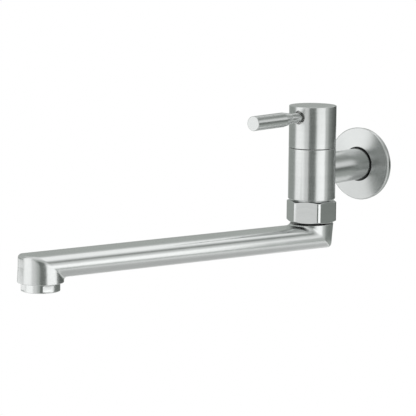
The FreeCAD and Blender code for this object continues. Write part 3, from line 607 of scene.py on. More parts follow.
def capped_skin(name, loops):
    """A closed skin over loops of points, of shape (loops, points, 3), whose two ends close in a fan
    round the middle of the end loop."""
    rows, columns = loops.shape[:2]
    index = np.arange(rows * columns).reshape(rows, columns)
    poles = loops[[0, -1]].mean(axis=1)
    points = np.vstack([loops.reshape(-1, 3), poles])
    faces = strips(index).tolist() + pole_fans(index, rows * columns, rows * columns + 1)
    return solid(name, points, faces)


def round_corner(before, corner, after, radius, steps):
    """The arc of that radius that touches both sides of an outline's corner."""
    if not radius:
        return corner[None]
    back = (before - corner) / np.linalg.norm(before - corner)
    forth = (after - corner) / np.linalg.norm(after - corner)
    half = math.acos(np.clip(back @ forth, -1, 1)) / 2
    centre = corner + (back + forth) / np.linalg.norm(back + forth) * radius / math.sin(half)
    start = corner + back * radius / math.tan(half) - centre
    end = corner + forth * radius / math.tan(half) - centre
    turn = math.pi - 2 * half
    part = np.linspace(0, 1, steps)[:, None]
    return centre + (np.sin((1 - part) * turn) * start + np.sin(part * turn) * end) / math.sin(turn)


def outline(corners, closed=False, steps=6):
    """An outline's points as rows of radius and height. Each corner is given as its radius, its height
    and its rounding, and becomes an arc that touches both of its sides."""
    corners = np.array(corners, float)
    spots, roundings = corners[:, :2], corners[:, 2]
    if not closed:
        roundings[[0, -1]] = 0
    before, after = np.roll(spots, 1, 0), np.roll(spots, -1, 0)
    arcs = [round_corner(*corner, steps) for corner in zip(before, spots, after, roundings)]
    return np.vstack(arcs)


def angles(columns):
    """As many angles as there are columns, evenly spaced round a full turn."""
    return np.arange(columns) / columns * FULL_TURN


def lathe_points(radii, heights, turns, origin, axis=UP):
    """Points round an axis, of shape (rows, columns, 3): the radius of each row, or row and column,
    turned from the side way by the column's angle, and its height along the axis."""
    origin, axis, first = (np.array(part) for part in (origin, axis, SIDE))
    second = np.cross(axis, first)
    across = radii[..., None] * (np.cos(turns)[:, None] * first + np.sin(turns)[:, None] * second)
    return origin + across + heights[..., None] * axis


def lathed(name, profile, origin, axis, columns, skin=ring_skin):
    """A profile's rows of radius and height carried round an axis."""
    return skin(name, lathe_points(profile[:, :1], profile[:, 1:], angles(columns), origin, axis))


def smooth_step(value, start, end):
    """Runs from 0 at the start to 1 at the end, as three times the square less twice the cube."""
    part = np.clip((value - start) / (end - start), 0, 1)
    return part * part * (3 - 2 * part)


def soft_least(first, second, width):
    """The lesser of two values, rounded where they are within a width of each other."""
    near = np.clip(1 - np.abs(first - second) / np.maximum(width, TINY), 0, 1)
    return np.minimum(first, second) - near * near * width / 4


def round_both(first, second, radius):
    """The field of what lies inside both of two fields, its edge rounded by a radius."""
    inner = np.minimum(np.maximum(first, second) + radius, 0)
    outer = np.hypot(np.maximum(first + radius, 0), np.maximum(second + radius, 0))
    return inner + outer - radius


def thread_groove(phase, crest=0.16, root=0.16):
    """Depth of a screw thread, from 0 on its crest to 1 at its root, over one turn of the phase."""
    wave = np.abs(2 * (phase % 1) - 1)
    return np.clip((wave - crest) / (1 - crest - root), 0, 1)


def finish_piece(made, material, body, slot, *nodes):
    """Gives a piece its material and its place in the frame, where it stands for some nodes."""
    made.data.materials.append(bpy.data.materials[material])
    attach(made, body)
    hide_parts(*nodes)


def window_rows(profile, radius, level, half):
    """The rows of a profile that lie on a wall within half a window's height of its level."""
    on_wall = np.abs(profile[:, 0] - radius) < WALL_TOLERANCE
    return np.flatnonzero(on_wall & (np.abs(profile[:, 1] - level) < half + WALL_TOLERANCE))


def window_edge(index, rows, columns):
    """The loop of points round a window of an index grid, starting up its first column."""
    up = index[rows, columns[0]]
    over = index[rows[-1], columns]
    down = index[rows[::-1], columns[-1]]
    back = index[rows[0], columns[::-1]]
    return np.concatenate([up[:-1], over[:-1], down[:-1], back[:-1]])


def hole_circles(spots, walls, level, radius, edge, facing):
    """Loops of points through a round hole, from beyond its rounded edge on the outer wall to the inner
    wall. Each point keeps its spot's direction round the hole, and lies on its wall's circle: its depth
    is the root of the wall's radius squared less the place across squared."""
    outer, inner = walls
    facing_way = np.array([math.cos(facing), math.sin(facing), 0])
    side_way = np.array([-math.sin(facing), math.cos(facing), 0])
    spots = spots - np.array(VALVE)
    direction = np.arctan2(spots[:, 2] - level, spots @ side_way)
    beyond, mid = 2.5 * edge, 0.3 * edge
    cylinders = np.array([outer, outer, outer - mid, outer - edge, inner, inner])
    sizes = radius + np.array([beyond, edge, mid, 0, 0, edge])
    across, rise = (sizes[:, None] * way(direction) for way in (np.cos, np.sin))
    depth = np.sqrt(cylinders[:, None] ** 2 - across ** 2)
    places = across[..., None] * side_way + depth[..., None] * facing_way
    return np.array(VALVE) + places + (level + rise)[..., None] * np.array(UP)


def pierced(name, profile, walls, level, radius, edge, facing, half_angle, window, poles, columns=180):
    """A profile carried round the valve's axis with a round hole through its wall. The outer and the
    inner wall each leave out a window of the grid, and loops of points join the two windows: the outer
    window's edge, the hole's circles and the inner window's edge."""
    loops = lathe_points(profile[:, :1], profile[:, 1:], angles(columns), VALVE)
    points = loops.reshape(-1, 3)
    index = np.arange(len(points)).reshape(-1, columns)
    quads = strips(index if poles else np.vstack([index, index[:1]]))
    row_of, column_of = quads[:, 0] // columns, quads[:, 0] % columns
    centre = round(facing / FULL_TURN * columns)
    reach = round(half_angle / FULL_TURN * columns)
    span = np.arange(centre - reach, centre + reach + 1) % columns
    keep = np.ones(len(quads), bool)
    edges = []
    for wall in walls:
        rows = window_rows(profile, wall, level, window)
        keep &= (row_of < rows[0]) | (row_of >= rows[-1]) | ~np.isin(column_of, span[:-1])
        upward = rows if profile[rows[0], 1] < profile[rows[-1], 1] else rows[::-1]
        edges.append(window_edge(index, upward, span))
    circles = hole_circles(points[edges[0]], walls, level, radius, edge, facing)
    circle_index = len(points) + np.arange(circles.size // 3).reshape(circles.shape[:2])
    tunnel = strips(np.vstack([edges[0], circle_index, edges[1]]))
    points = np.vstack([points, circles.reshape(-1, 3)])
    faces = quads[keep].tolist() + tunnel.tolist()
    if poles:
        points = np.vstack([points, loops[[0, -1]].mean(axis=1)])
        faces += pole_fans(index, len(points) - 2, len(points) - 1)
    return solid(name, points, faces)


# Pieces on the body


WALL_ROWS = 12


def ladder(radius, start, end):
    """Plain points up or down a wall with a hole, as rows of radius, height and no rounding."""
    return [(radius, height, 0) for height in np.linspace(start, end, WALL_ROWS)]


def make_cap():
    """The handle's cap: a turned cup, open below, with a hole in its side for the lever's screw."""
    size = settings("body")
    top, foot, level = high("handle_cap").z, low("handle_cap").z, LEVER.z
    margin = 0.35 * MM
    window = size.lever_hole + margin
    profile = outline([
        (0, top - size.cap_roof, 0),
        (size.cap_bore, top - size.cap_roof, 0.2 * MM),
        *ladder(size.cap_bore, level + window, level - window),
        (size.cap_bore, foot, SMALL_EDGE),
        (size.radius, foot, size.edge),
        *ladder(size.radius, level - window, level + window),
        (size.radius, top, size.edge),
        (0, top, 0),
    ])[1:-1]
    made = pierced(
        "cap_turned", profile, walls=(size.radius, size.cap_bore), level=level, radius=size.lever_hole,
        edge=size.hole_edge, facing=3 * RIGHT_ANGLE, half_angle=math.radians(22), window=window,
        poles=True,
    )
    finish_piece(made, "turned_upright", "handle", "turned_steel", "handle_cap")


def make_body():
    """The body: a turned tube with the chamber above, the spigot and the swivel's bore below, and a
    hole into the chamber behind the arm."""
    size = settings("body")
    top, foot, level = high("valve_body").z, low("valve_body").z, 0.0
    margin = 0.8 * MM
    window = size.port_radius + margin
    profile = outline([
        *ladder(size.chamber_radius, level + window, level - window),
        (size.chamber_radius, size.seat_level, SMALL_EDGE),
        (size.outlet_radius, size.seat_level, SMALL_EDGE),
        (size.outlet_radius, foot + size.swivel_depth, SMALL_EDGE),
        (size.swivel_radius, foot + size.swivel_depth, SMALL_EDGE),
        (size.swivel_radius, foot, SMALL_EDGE),
        (size.spigot_radius, foot, size.spigot_edge),
        (size.spigot_radius, size.shoulder_level, SMALL_EDGE),
        (size.radius, size.shoulder_level, size.edge),
        *ladder(size.radius, level - window, level + window),
        (size.radius, top, size.edge),
        (size.chamber_radius, top, SMALL_EDGE),
    ], closed=True)
    made = pierced(
        "body_turned", profile, walls=(size.radius, size.chamber_radius), level=level,
        radius=size.port_radius, edge=size.hole_edge, facing=RIGHT_ANGLE, half_angle=math.radians(44),
        window=window, poles=False,
    )
    finish_piece(made, "turned_upright", "root", "turned_steel", "valve_body")


def make_lever():
    """The rod: a thin neck, a cone and the grip, turned about the lever's axis, bored for the screw."""
    size = settings("lever")
    start = VALVE.y - high("lever_grip").y
    end = VALVE.y - low("lever_grip").y
    neck_end = start + size.neck_length
    cone_end = neck_end + size.cone_length
    grip = high("lever_grip").x
    room = start + size.tang_length + size.tang_room
    clearance, small = 0.05 * MM, 0.12 * MM
    tang = size.tang_radius + clearance
    profile = outline([
        (0, room, 0), (tang, room, small), (tang, start, small), (size.neck_radius, start, 0.3 * MM),
        (size.neck_radius, neck_end, small), (size.cone_start, neck_end, small),
        (grip, cone_end, 2.0 * MM), (grip, end, size.grip_edge), (0, end, 0),
    ])[1:-1]
    made = lathed("lever_rod", profile, LEVER, OUT, columns=96, skin=capped_skin)
    finish_piece(made, "turned_lever", "handle", "turned_steel", "lever_grip")
    finish_piece(make_stud(size, start), "machined_steel", "handle", "hidden_steel", "lever_stud")


def make_stud(size, shoulder):
    """A screw: its radius is the crest's less the groove's depth, which depends on the height in
    pitches less the turn, and fades out at both ends. A plain tang with a chamfer follows."""
    root = VALVE.y - high("lever_stud").y
    end = VALVE.y - low("lever_stud").y
    chamfer = 0.3 * MM
    columns = 48
    turns = angles(columns)
    heights = np.linspace(root, shoulder, 150)
    phase = heights[:, None] / size.stud_pitch - turns / FULL_TURN
    fade = smooth_step(heights, root, root + size.stud_pitch)
    fade = fade * (1 - smooth_step(heights, shoulder - chamfer, shoulder))
    radii = size.stud_radius - size.stud_depth * thread_groove(phase) * fade[:, None]
    tang_radii = size.tang_radius - np.array([[0], [0], [chamfer]])
    radii = np.vstack([radii, np.repeat(tang_radii, columns, 1)])
    heights = np.concatenate([heights, [shoulder, end - chamfer, end]])
    return capped_skin("lever_screw", lathe_points(radii, heights[:, None], turns, LEVER, OUT))


def make_nut():
    """A hexagon turned down at its corners and chamfered at both ends: the radius at each angle and
    height is the softened lesser of the flat's distance over the cosine of the angle from its middle,
    and of the turned blank's radius, which falls towards both ends. A ring a little within the first
    and the last row breaks their edges."""
    size = settings("nut")
    foot, top = low("coupling_nut").z, high("coupling_nut").z
    columns = 432
    turns = angles(columns)
    step = math.pi / 3
    from_flat = (turns - size.turn) % step - step / 2
    hexagon = size.flats / 2 / np.cos(from_flat)
    fall = size.corner - size.flats / 2
    end_rows = np.linspace(0, 1.4 * size.chamfer, 15)
    heights = np.concatenate([foot + end_rows, top - end_rows[::-1]])
    depth = np.minimum(heights - foot, top - heights)
    blank = size.corner - fall * np.clip(1 - depth / size.chamfer, 0, 1)
    outer = soft_least(hexagon[None], blank[:, None], size.blend)
    inner = outline([
        (size.bore, top, 0.4 * MM), (size.bore, foot + size.lip, SMALL_EDGE),
        (size.hole, foot + size.lip, SMALL_EDGE), (size.hole, foot, 0.3 * MM),
        (size.bore, foot, 0), (size.bore + size.lip, top, 0),
    ], closed=True)[:-2]
    inset, drop = 0.12 * MM, 0.05 * MM
    radii = np.vstack([outer[:1] - inset, outer, outer[-1:] - inset, np.repeat(inner[:, :1], columns, 1)])
    heights[0] += drop
    heights[-1] -= drop
    heights = np.concatenate([[foot], heights, [top], inner[:, 1]])
    loops = lathe_points(radii, heights[:, None], turns, VALVE)
    finish_piece(ring_skin("nut_hexagon", loops), "turned_smooth", "root", "nut_steel", "coupling_nut")


# Spout


def spout_points(across, along, height):
    """From the spout's own coordinates to the frame's."""
    return (
        np.array(VALVE) + across[..., None] * np.array(ACROSS)
        + along[..., None] * np.array(ALONG) + height[..., None] * np.array(UP)
    )


# Share of the spout's half width over which the rounding of its end rims grows
RIM_ONSET = 0.7
# How often the length of a ray is halved
HALVINGS = 34


def hull_field(across, along, height, size, reach, level, inset):
    """How far a place lies outside the flattened tube, cut to the long slot that the spout is when
    seen from above. The tube is the distance to a flat bar, and the slot the distance to a line, less
    the lean of the elbow's far wall. Their common edge is rounded beyond the tube's two ends."""
    half_width, half_height = size.half_width - inset, size.half_height - inset
    flat = half_width - half_height
    tube = np.hypot(np.maximum(np.abs(across) - flat, 0), height - level) - half_height
    beyond = along - np.clip(along, 0, reach)
    slot = np.hypot(across, beyond) - half_width - lean(along, height, size, level)
    rim = size.rim * smooth_step(np.abs(beyond), 0, RIM_ONSET * half_width)
    return round_both(slot, tube, rim)


def lean(along, height, size, level):
    """How far the elbow's wall stands out on its far side, in proportion to its height."""
    return size.draft * (height - level) * smooth_step(-along, 0, size.half_width)


def outer_field(across, along, height, size, reach, level):
    """The hull joined with the elbow's collar and the flared head, with soft creases where they meet
    the tube and none where their walls run on from it."""
    field = hull_field(across, along, height, size, reach, level, 0.0)
    radius = size.half_width + lean(along, height, size, level)
    collar = np.maximum(np.hypot(across, along) - radius, level - height)
    towards = smooth_step(along, 0, size.half_width)
    field = soft_least(field, collar, size.elbow_crease * towards)
    drop = level - low("spout").z
    radius = size.half_width + size.flare * np.clip((level - height) / drop, 0, 1)
    head = np.maximum(np.hypot(across, along - reach) - radius, height - level)
    towards = smooth_step(reach - along, 0, size.half_width)
    return soft_least(field, head, size.head_crease * towards)


def inner_field(across, along, height, size, reach, level):
    """The waterway: the hull less its wall, joined with the holes for the tail and the aerator."""
    field = hull_field(across, along, height, size, reach, level, size.wall)
    tail = np.maximum(np.hypot(across, along) - size.socket, level - height)
    outlet = np.maximum(np.hypot(across, along - reach) - size.waterway, height - level)
    return np.minimum(field, np.minimum(tail, outlet))


def spout_path(size, reach, level, head_pivot, elbow_pivot):
    """The sections that the spout's skin is made of: at the head they fan out from a level plane to an
    upright one round a pivot under the tube, then follow the tube, and at the elbow fan out again
    round a pivot above the tube to a level plane. Gives each section's centre and its upward axis, as
    places along the spout and heights."""
    part = np.linspace(0, 1, size.bend_rows)[:, None]
    turn = part * RIGHT_ANGLE
    head_way = np.hstack([np.cos(turn), np.sin(turn)])
    head_length = (1 - part) * (reach - head_pivot[0]) + part * (level - head_pivot[1])
    elbow_way = np.hstack([-np.sin(turn), -np.cos(turn)])
    elbow_length = (1 - part) * (elbow_pivot[1] - level) + part * elbow_pivot[0]
    tube = np.linspace(head_pivot[0], elbow_pivot[0], size.tube_rows + 2)[1:-1]
    centres = np.vstack([
        head_pivot + head_way * head_length,
        np.column_stack([tube, np.full(len(tube), level)]),
        elbow_pivot + elbow_way * elbow_length,
    ])
    axes = np.vstack([head_way, np.tile([0.0, 1.0], (len(tube), 1)), -elbow_way])
    return centres, axes


def cast_sections(field, centres, axes, turns, far):
    """Points where rays from each section's centre leave a solid. A ray's length is found by halving:
    it grows while its end is inside, where the field is below nothing, and shrinks while outside."""
    sides, ups = np.cos(turns), np.sin(turns)
    near = np.zeros((len(centres), len(turns)))
    far = np.full_like(near, far)

    def spots(reach):
        along = centres[:, :1] + reach * ups * axes[:, :1]
        height = centres[:, 1:] + reach * ups * axes[:, 1:]
        return reach * sides, along, height

    for _ in range(HALVINGS):
        half = (near + far) / 2
        inside = field(*spots(half)) < 0
        near = np.where(inside, half, near)
        far = np.where(inside, far, half)
    return spout_points(*spots(near))


def circle_rows(profile, turns, along, swell=0.0):
    """Rings about an upright axis at a place along the spout, a row for each radius and height. The
    swell is what each point's radius grows by."""
    radii, heights = profile[:, :1] + swell, profile[:, 1:]
    across = radii * np.cos(turns)
    return spout_points(across, along + radii * np.sin(turns), heights + 0 * across)


def make_spout():
    """The spout's skin, as one tube of loops: from the aerator's socket round the head's foot, over the
    outside to the elbow's collar, into the tail's socket and back along the waterway."""
    size = settings("spout")
    reach = (OUTLET - VALVE).length
    top, foot = high("spout").z, low("spout").z
    level = top - size.collar - size.half_height
    turns = angles(size.columns)
    far = 2 * size.half_width + size.half_height
    head_radius = size.half_width + size.flare
    room = 3 * MM

    def outer(across, along, height):
        return outer_field(across, along, height, size, reach, level)

    def inner(across, along, height):
        return inner_field(across, along, height, size, reach, level)

    head_pivot = np.array([reach - head_radius - room, foot + size.head_edge])
    elbow_pivot = np.array([size.half_width + room, top - size.collar_edge])
    outside = cast_sections(outer, *spout_path(size, reach, level, head_pivot, elbow_pivot), turns, far)
    ledge = foot + size.outlet_ledge
    roof = level + size.half_height - size.wall
    over_ledge, over_roof = 0.2 * MM, 0.8 * MM
    head_pivot = np.array([reach - size.waterway - room / 2, ledge + over_ledge])
    elbow_pivot = np.array([size.socket + room / 2, roof + over_roof])
    inside = cast_sections(inner, *spout_path(size, reach, level, head_pivot, elbow_pivot), turns, far)
    collar_edge = outline([
        (size.half_width, level, 0), (size.half_width, top, size.collar_edge),
        (size.socket, top, SMALL_EDGE), (size.socket, roof, 0),
    ])[2:-1]
    swell = lean(collar_edge[:, :1] * np.sin(turns), collar_edge[:, 1:], size, level)
    swell = swell * smooth_step(collar_edge[:, :1], size.socket, size.half_width - size.collar_edge)
    head_edge = outline([
        (size.waterway, ledge, 0), (size.outlet, ledge, SMALL_EDGE), (size.outlet, foot, SMALL_EDGE),
        (head_radius, foot, size.head_edge), (head_radius, level, 0),
    ])[:-2]
    loops = np.concatenate([
        circle_rows(head_edge, turns, reach), outside, circle_rows(collar_edge, turns, 0.0, swell),
        inside[::-1],
    ])
    finish_piece(ring_skin("spout_formed", loops), "brushed_lengthwise", "spout", "satin_steel", "spout")


# How far a wire of the screen swings up and down, as a share of its radius
WEAVE_LIFT = 0.85


def make_outlet():
    """The aerator's shell: a turned ring whose radius is cut to the distance of four flats over the
    cosine of the angle from the nearest one, between the flats' foot and top."""
    size = settings("outlet")
    foot = low("aerator_shell").z
    outer = high("aerator_shell").x - OUTLET.x
    turns = angles(240)
    flat_foot = foot + size.flat_foot
    flat_top = flat_foot + size.flat_height
    lip = size.bore - size.lip
    ledge = 0.04 * MM
    profile = outline([
        (lip, foot, 0.3 * MM), (outer, foot, size.edge),
        (outer, flat_foot - ledge, 0), (outer, flat_foot, 0), (outer, flat_top, 0),
        (outer, flat_top + ledge, 0), (outer, size.shoulder, SMALL_EDGE),
        (size.thread_radius, size.shoulder, SMALL_EDGE), (size.thread_radius, size.thread_top, SMALL_EDGE),
        (size.bore, size.thread_top, SMALL_EDGE), (size.bore, foot + size.lip_height, SMALL_EDGE),
        (lip, foot + size.lip_height, SMALL_EDGE),
    ], closed=True)
    radii, heights = profile[:, :1], profile[:, 1:]
    on_flat = (heights >= flat_foot) & (heights <= flat_top) & (radii > size.thread_radius)
    start = math.atan2(ALONG.y, ALONG.x) + size.flat_turn
    from_flat = (turns - start + math.pi / 4) % RIGHT_ANGLE - math.pi / 4
    flats = soft_least(size.flat / np.cos(from_flat), outer, 0.05 * MM)
    made = ring_skin("outlet_shell", lathe_points(np.where(on_flat, flats, radii), heights, turns, OUTLET))
    finish_piece(made, "turned_outlet", "spout", "satin_steel", "aerator_shell")
    finish_piece(make_screen(size), "machined_steel", "spout", "hidden_steel", "aerator_screen")


def make_screen(size):
    """A woven screen in a rim: wires run both ways, and each one's height is a sine of its place
    along itself, shifted by half a wave from one wire to the next."""
    centre = Vector((OUTLET.x, OUTLET.y, middle("aerator_screen").z))
    room = 0.02 * MM
    rim = size.screen_rim
    inner = high("aerator_screen").x - OUTLET.x - room - rim
    most = int(inner / size.mesh_pitch)
    offsets = np.arange(-most, most + 1) * size.mesh_pitch
    travel = np.sqrt(inner ** 2 - offsets ** 2)[:, None] * np.linspace(-1, 1, 90)
    turns = angles(6)
    side, up = size.wire_radius * np.cos(turns), size.wire_radius * np.sin(turns)
    across = offsets[:, None, None] + side + 0 * travel[..., None]
    along = travel[..., None] + 0 * side
    order = np.arange(len(offsets))[:, None]
    wires = []
    for pair, crossing in (((across, along), 0), ((along, across), 1)):
        wave = (travel / size.mesh_pitch + order + crossing) * math.pi + RIGHT_ANGLE
        height = WEAVE_LIFT * size.wire_radius * np.sin(wave)
        wires.append(np.stack([*pair, height[..., None] + up], axis=-1))
    wires = np.concatenate(wires) + np.array(centre)
    index = np.arange(wires.size // 3).reshape(wires.shape[:3])
    here, there = index[:, :-1], index[:, 1:]
    quads = np.stack([here, np.roll(here, -1, 2), np.roll(there, -1, 2), there], axis=-1).reshape(-1, 4)
    ends = np.vstack([index[:, 0], index[:, -1]]).tolist()
    section = np.column_stack([inner + rim * np.cos(turns), rim * np.sin(turns)])
    ring = lathe_points(section[:, :1], section[:, 1:], angles(120), centre)
    ring_index = index.size + np.arange(ring.size // 3).reshape(ring.shape[:2])
    ring_faces = strips(np.vstack([ring_index, ring_index[:1]])).tolist()
    points = np.vstack([wires.reshape(-1, 3), ring.reshape(-1, 3)])
    return solid("outlet_mesh", points, quads.tolist() + ends + ring_faces)


# Pieces at the wall


def make_arm():
    """The arm: a tube whose wall end has a screw thread and whose other end follows the body's
    cylinder. Each ring of the arm is level with the wall at one end and with the body at the other:
    its place runs from a fixed one to the body's surface, the root of the body's radius squared less
    the place across squared. The rings lie closer and closer towards the body, where the last stretch
    flares into the weld."""
    size = settings("wall")
    radius, wall_end = high("inlet_arm").x, high("inlet_arm").y
    body = settings("body").radius + size.weld_gap
    runout = 1.2 * MM
    columns = 144
    turns = angles(columns)
    pipe = np.linspace(wall_end, 0, 110)[:, None]
    phase = pipe / size.pipe_pitch - turns / FULL_TURN
    fade = smooth_step(pipe, 0, runout)
    crest = size.pipe_radius - np.clip(pipe - (wall_end - size.pipe_chamfer), 0, None)
    threads = crest - size.pipe_depth * thread_groove(phase) * fade
    threads = np.maximum(threads, size.pipe_radius - size.pipe_depth)

    def coped(radii, part):
        across = radii * np.cos(turns)
        return part * (VALVE.y + np.sqrt(body ** 2 - across ** 2))

    towards_weld = 1 - np.geomspace(0.3, 1e-3, 26) + 1e-3
    part = np.concatenate([[0.004, 0.02, 0.2, 0.45], towards_weld, [1.0]])[:, None]
    left = (1 - part) * (-VALVE.y - body)
    leg = np.clip(1 - left / size.weld, 0, 1)
    flare = size.weld * (1 - np.sqrt(1 - leg ** 2))
    shaft = np.repeat(radius + flare, columns, 1)
    bore = np.full((3, columns), size.arm_bore)
    radii = np.vstack([threads, shaft, bore])
    places = np.vstack([
        np.repeat(pipe, columns, 1),
        coped(shaft, part),
        coped(bore[:2], np.array([[1.0], [0.5]])),
        np.full((1, columns), wall_end),
    ])
    loops = lathe_points(radii, -places, turns, WALL, OUT)
    finish_piece(ring_skin("arm_coped", loops), "turned_wall", "root", "turned_steel", "inlet_arm")


def make_flange():
    """The flange: a slightly conical cover with a rolled rim, hollow at the wall, round the arm."""
    size = settings("wall")
    outer, depth = high("wall_flange").x, -low("wall_flange").y
    hole, wall, rim = size.flange_hole, size.flange_wall, size.flange_rim
    profile = outline([
        (outer - wall, 0, SMALL_EDGE), (outer - size.flange_draft, 0, 0.3 * MM),
        (outer, rim, size.flange_edge), (hole, depth, 0.25 * MM), (hole, wall, SMALL_EDGE),
        (hole + wall, wall, SMALL_EDGE), (hole + wall, depth - wall, SMALL_EDGE),
        (outer - wall, rim - wall, SMALL_EDGE),
    ], closed=True)
    made = lathed("flange_turned", profile, WALL, OUT, columns=180)
    finish_piece(made, "turned_wall", "flange", "turned_steel", "wall_flange")


def make_seal():
    """The rubber ring between the flange and the arm: a circle carried round the arm's axis."""
    section = settings("wall").ring_radius
    ring = high("flange_o_ring").x - section
    turns = angles(24)
    profile = np.column_stack([
        ring + section * np.cos(turns), section * np.sin(turns) - middle("flange_o_ring").y
    ])
    made = lathed("flange_seal", profile, WALL, OUT, columns=144)
    finish_piece(made, "moulded_rubber", "flange", "rubber", "flange_o_ring")


SLOT_MATERIALS = {
    "satin_steel": "brushed_lengthwise",
    "turned_steel": "turned_upright",
    "nut_steel": "turned_smooth",
    "hidden_steel": "machined_steel",
    "brass": "machined_brass",
    "ceramic": "lapped_ceramic",
    "rubber": "moulded_rubber",
    "nylon": "moulded_nylon",
}


def dress_solids():
    """Gives each solid of the frame the finish of its slot, but the tail a black one, painted shade for the
    gap under the nut where it shows.
    """
    for part in frame["record"]["subparts"]:
        # Painted shade: the tail is painted black so that the gap under the nut reads dark.
        name = "blackened_steel" if part["node"] == "swivel_tail" else SLOT_MATERIALS[part["material_slot"]]
        mesh = frame["nodes"][part["node"]].data
        mesh.materials.clear()
        mesh.materials.append(bpy.data.materials[name])


# Studio


# The soft boxes and dark cards far off, each over those before it: azimuth, half width, soft edge,
# elevation, half height and soft edge in degrees, and its level of light. Azimuth 0 is out from the
# wall, and it grows towards +X.
CARDS = (
    (0, 180, 10, 8, 42, 14, 0.60),
    (-100, 55, 12, -16, 16, 10, 0.40),
    (-24, 28, 8, 6, 44, 12, 1.40),
    (10, 12, 8, 0, 34, 14, 0.90),
    (98, 25, 8, 10, 9, 6, 1.15),
    (97, 25, 8, 27, 8, 6, 0.85),
    (90, 28, 8, -16, 14, 6, 0.65),
    (170, 42, 8, 2, 16, 8, 0.09),
    (165, 42, 8, -26, 13, 6, 0.50),
    (80, 13, 6, -14, 8, 5, 1.30),
    (225, 22, 10, 0, 24, 10, 0.48),
    (199, 8, 6, 26, 5, 5, 1.35),
    (132, 12, 5, -12, 9, 5, 0.28),
    (142, 18, 6, 14, 10, 5, 1.05),
    (150, 40, 8, 36, 5, 4, 0.26),
    (165, 36, 10, 54, 8, 6, 1.45),
)


def light_world():
    """The studio: a white background with soft boxes and dark cards before it, which are hidden from
    the camera. All other rays see them, and the same background between and above them."""
    look = settings("studio")
    world = bpy.data.worlds.new("studio")
    bpy.context.scene.world = world
    graph = Graph(world)
    direction = graph.node("ShaderNodeTexCoord", outputs="Generated")
    x, y, z = graph.split(direction)
    azimuth = x.maths("ARCTAN2", x, y * -1.0)
    elevation = z.maths("ARCSINE", z)
    studio = look.background
    for *extent, level in CARDS:
        around, half_width, soft_side, above, half_height, soft_top = map(math.radians, extent)
        turned = azimuth.maths("COSINE", azimuth - around)
        away = turned.maths("ARCCOSINE", turned)
        beside = graph.step(away, half_width + soft_side, half_width - soft_side)
        lifted = elevation - above
        over = lifted.maths("ABSOLUTE", lifted)
        beyond = graph.step(over, half_height + soft_top, half_height - soft_top)
        studio = studio + (level - studio) * (beside * beyond)
    seen = graph.node("ShaderNodeLightPath", outputs="Is Camera Ray")
    strength = studio + (look.background - studio) * seen
    cast = graph.tint(graph.step(strength, 0.2, look.background), look.dim, (1.0, 1.0, 1.0))
    light = graph.node("ShaderNodeBackground", sockets={"Color": cast, "Strength": strength})
    graph.node("ShaderNodeOutputWorld", sockets={"Surface": light}, outputs=None)


def make_floor():
    """A pale disc under the tap. Towards its edge it adds light where it is seen, so that it runs out
    into the white background."""
    look = settings("studio")
    centre = Vector((middle("spout").x, middle("spout").y, look.floor_level))
    radius, foot, edge = look.floor_radius, -4 * MM, 1 * MM
    white_from = 0.95 * radius
    profile = outline([(0, foot, 0), (radius, foot, edge), (radius, 0, edge), (0, 0, 0)])[1:-1]
    floor = lathed("floor", profile, centre, UP, columns=96, skin=capped_skin)
    graph = Graph(bpy.data.materials.new("pale_floor"))
    spot = graph.own_place(centre, UPRIGHT)
    mottle = graph.noise(spot, scale=14.0, detail=3.0)
    camera, glossy, through = graph.node(
        "ShaderNodeLightPath", outputs=("Is Camera Ray", "Is Glossy Ray", "Is Transmission Ray")
    )
    out = graph.node("ShaderNodeVectorMath", {"operation": "LENGTH"}, {0: spot}, "Value")
    seen = (camera + glossy + through) * graph.step(out, look.floor_middle, white_from)
    principled(graph, {
        "Base Color": graph.tint(mottle, shaded(look.floor, 0.985), shaded(look.floor, 1.015)),
        "Roughness": 0.85,
        "Specular IOR Level": 0.1,
        "Emission Color": graph.tint(seen, (0, 0, 0), (1, 1, 1)),
        "Emission Strength": look.floor_lift,
    })
    floor.data.materials.append(bpy.data.materials["pale_floor"])


# The upright cards near the tap: their two ends seen from above, foot, top and level of light. All lie
# outside the circle that the spout swings in.
NEAR_CARDS = {
    "card_dark": ((0.19, -0.57), (0.50, -0.44), -0.27, 0.17, 0.20),
    "card_bright": ((0.65, -0.465), (0.245, -0.09), -0.12, 0.03, 1.50),
    "card_side": ((0.245, -0.09), (0.262, -0.01), -0.12, 0.03, 1.50),
    "card_left": ((-0.18, -0.37), (-0.22, -0.215), -0.17, -0.06, 1.12),
}


# The power of the cosine and sine that rounds a card's corners, and half its thickness
CARD_CORNERS = 0.25
CARD_HALF = 2 * MM


def make_card(name, start, end, foot, top, level):
    """An upright card, which only mirroring surfaces see. It is a closed slab: a rounded outline, the
    fourth root of a circle's cosine and sine, carried from its front to its back."""
    start, end = np.array([*start, 0.0]), np.array([*end, 0.0])
    facing = np.cross(end - start, np.array(UP)) / np.linalg.norm(end - start)
    turns = angles(64)
    across, rise = (
        np.sign(part) * np.abs(part) ** CARD_CORNERS / 2 for part in (np.cos(turns), np.sin(turns))
    )
    centre = (start + end) / 2 + (foot + top) / 2 * np.array(UP)
    face = centre + across[:, None] * (end - start) + rise[:, None] * (top - foot) * np.array(UP)
    card = capped_skin(name, face + np.array([-CARD_HALF, CARD_HALF])[:, None, None] * facing)
    graph = Graph(bpy.data.materials.new(name))
    cast = settings("studio").dim if level < 1 else (1, 1, 1)
    light = graph.node("ShaderNodeEmission", sockets={"Color": (*cast, 1), "Strength": level})
    graph.node("ShaderNodeOutputMaterial", sockets={"Surface": light}, outputs=None)
    card.data.materials.append(bpy.data.materials[name])
    card.visible_camera = card.visible_diffuse = card.visible_shadow = False


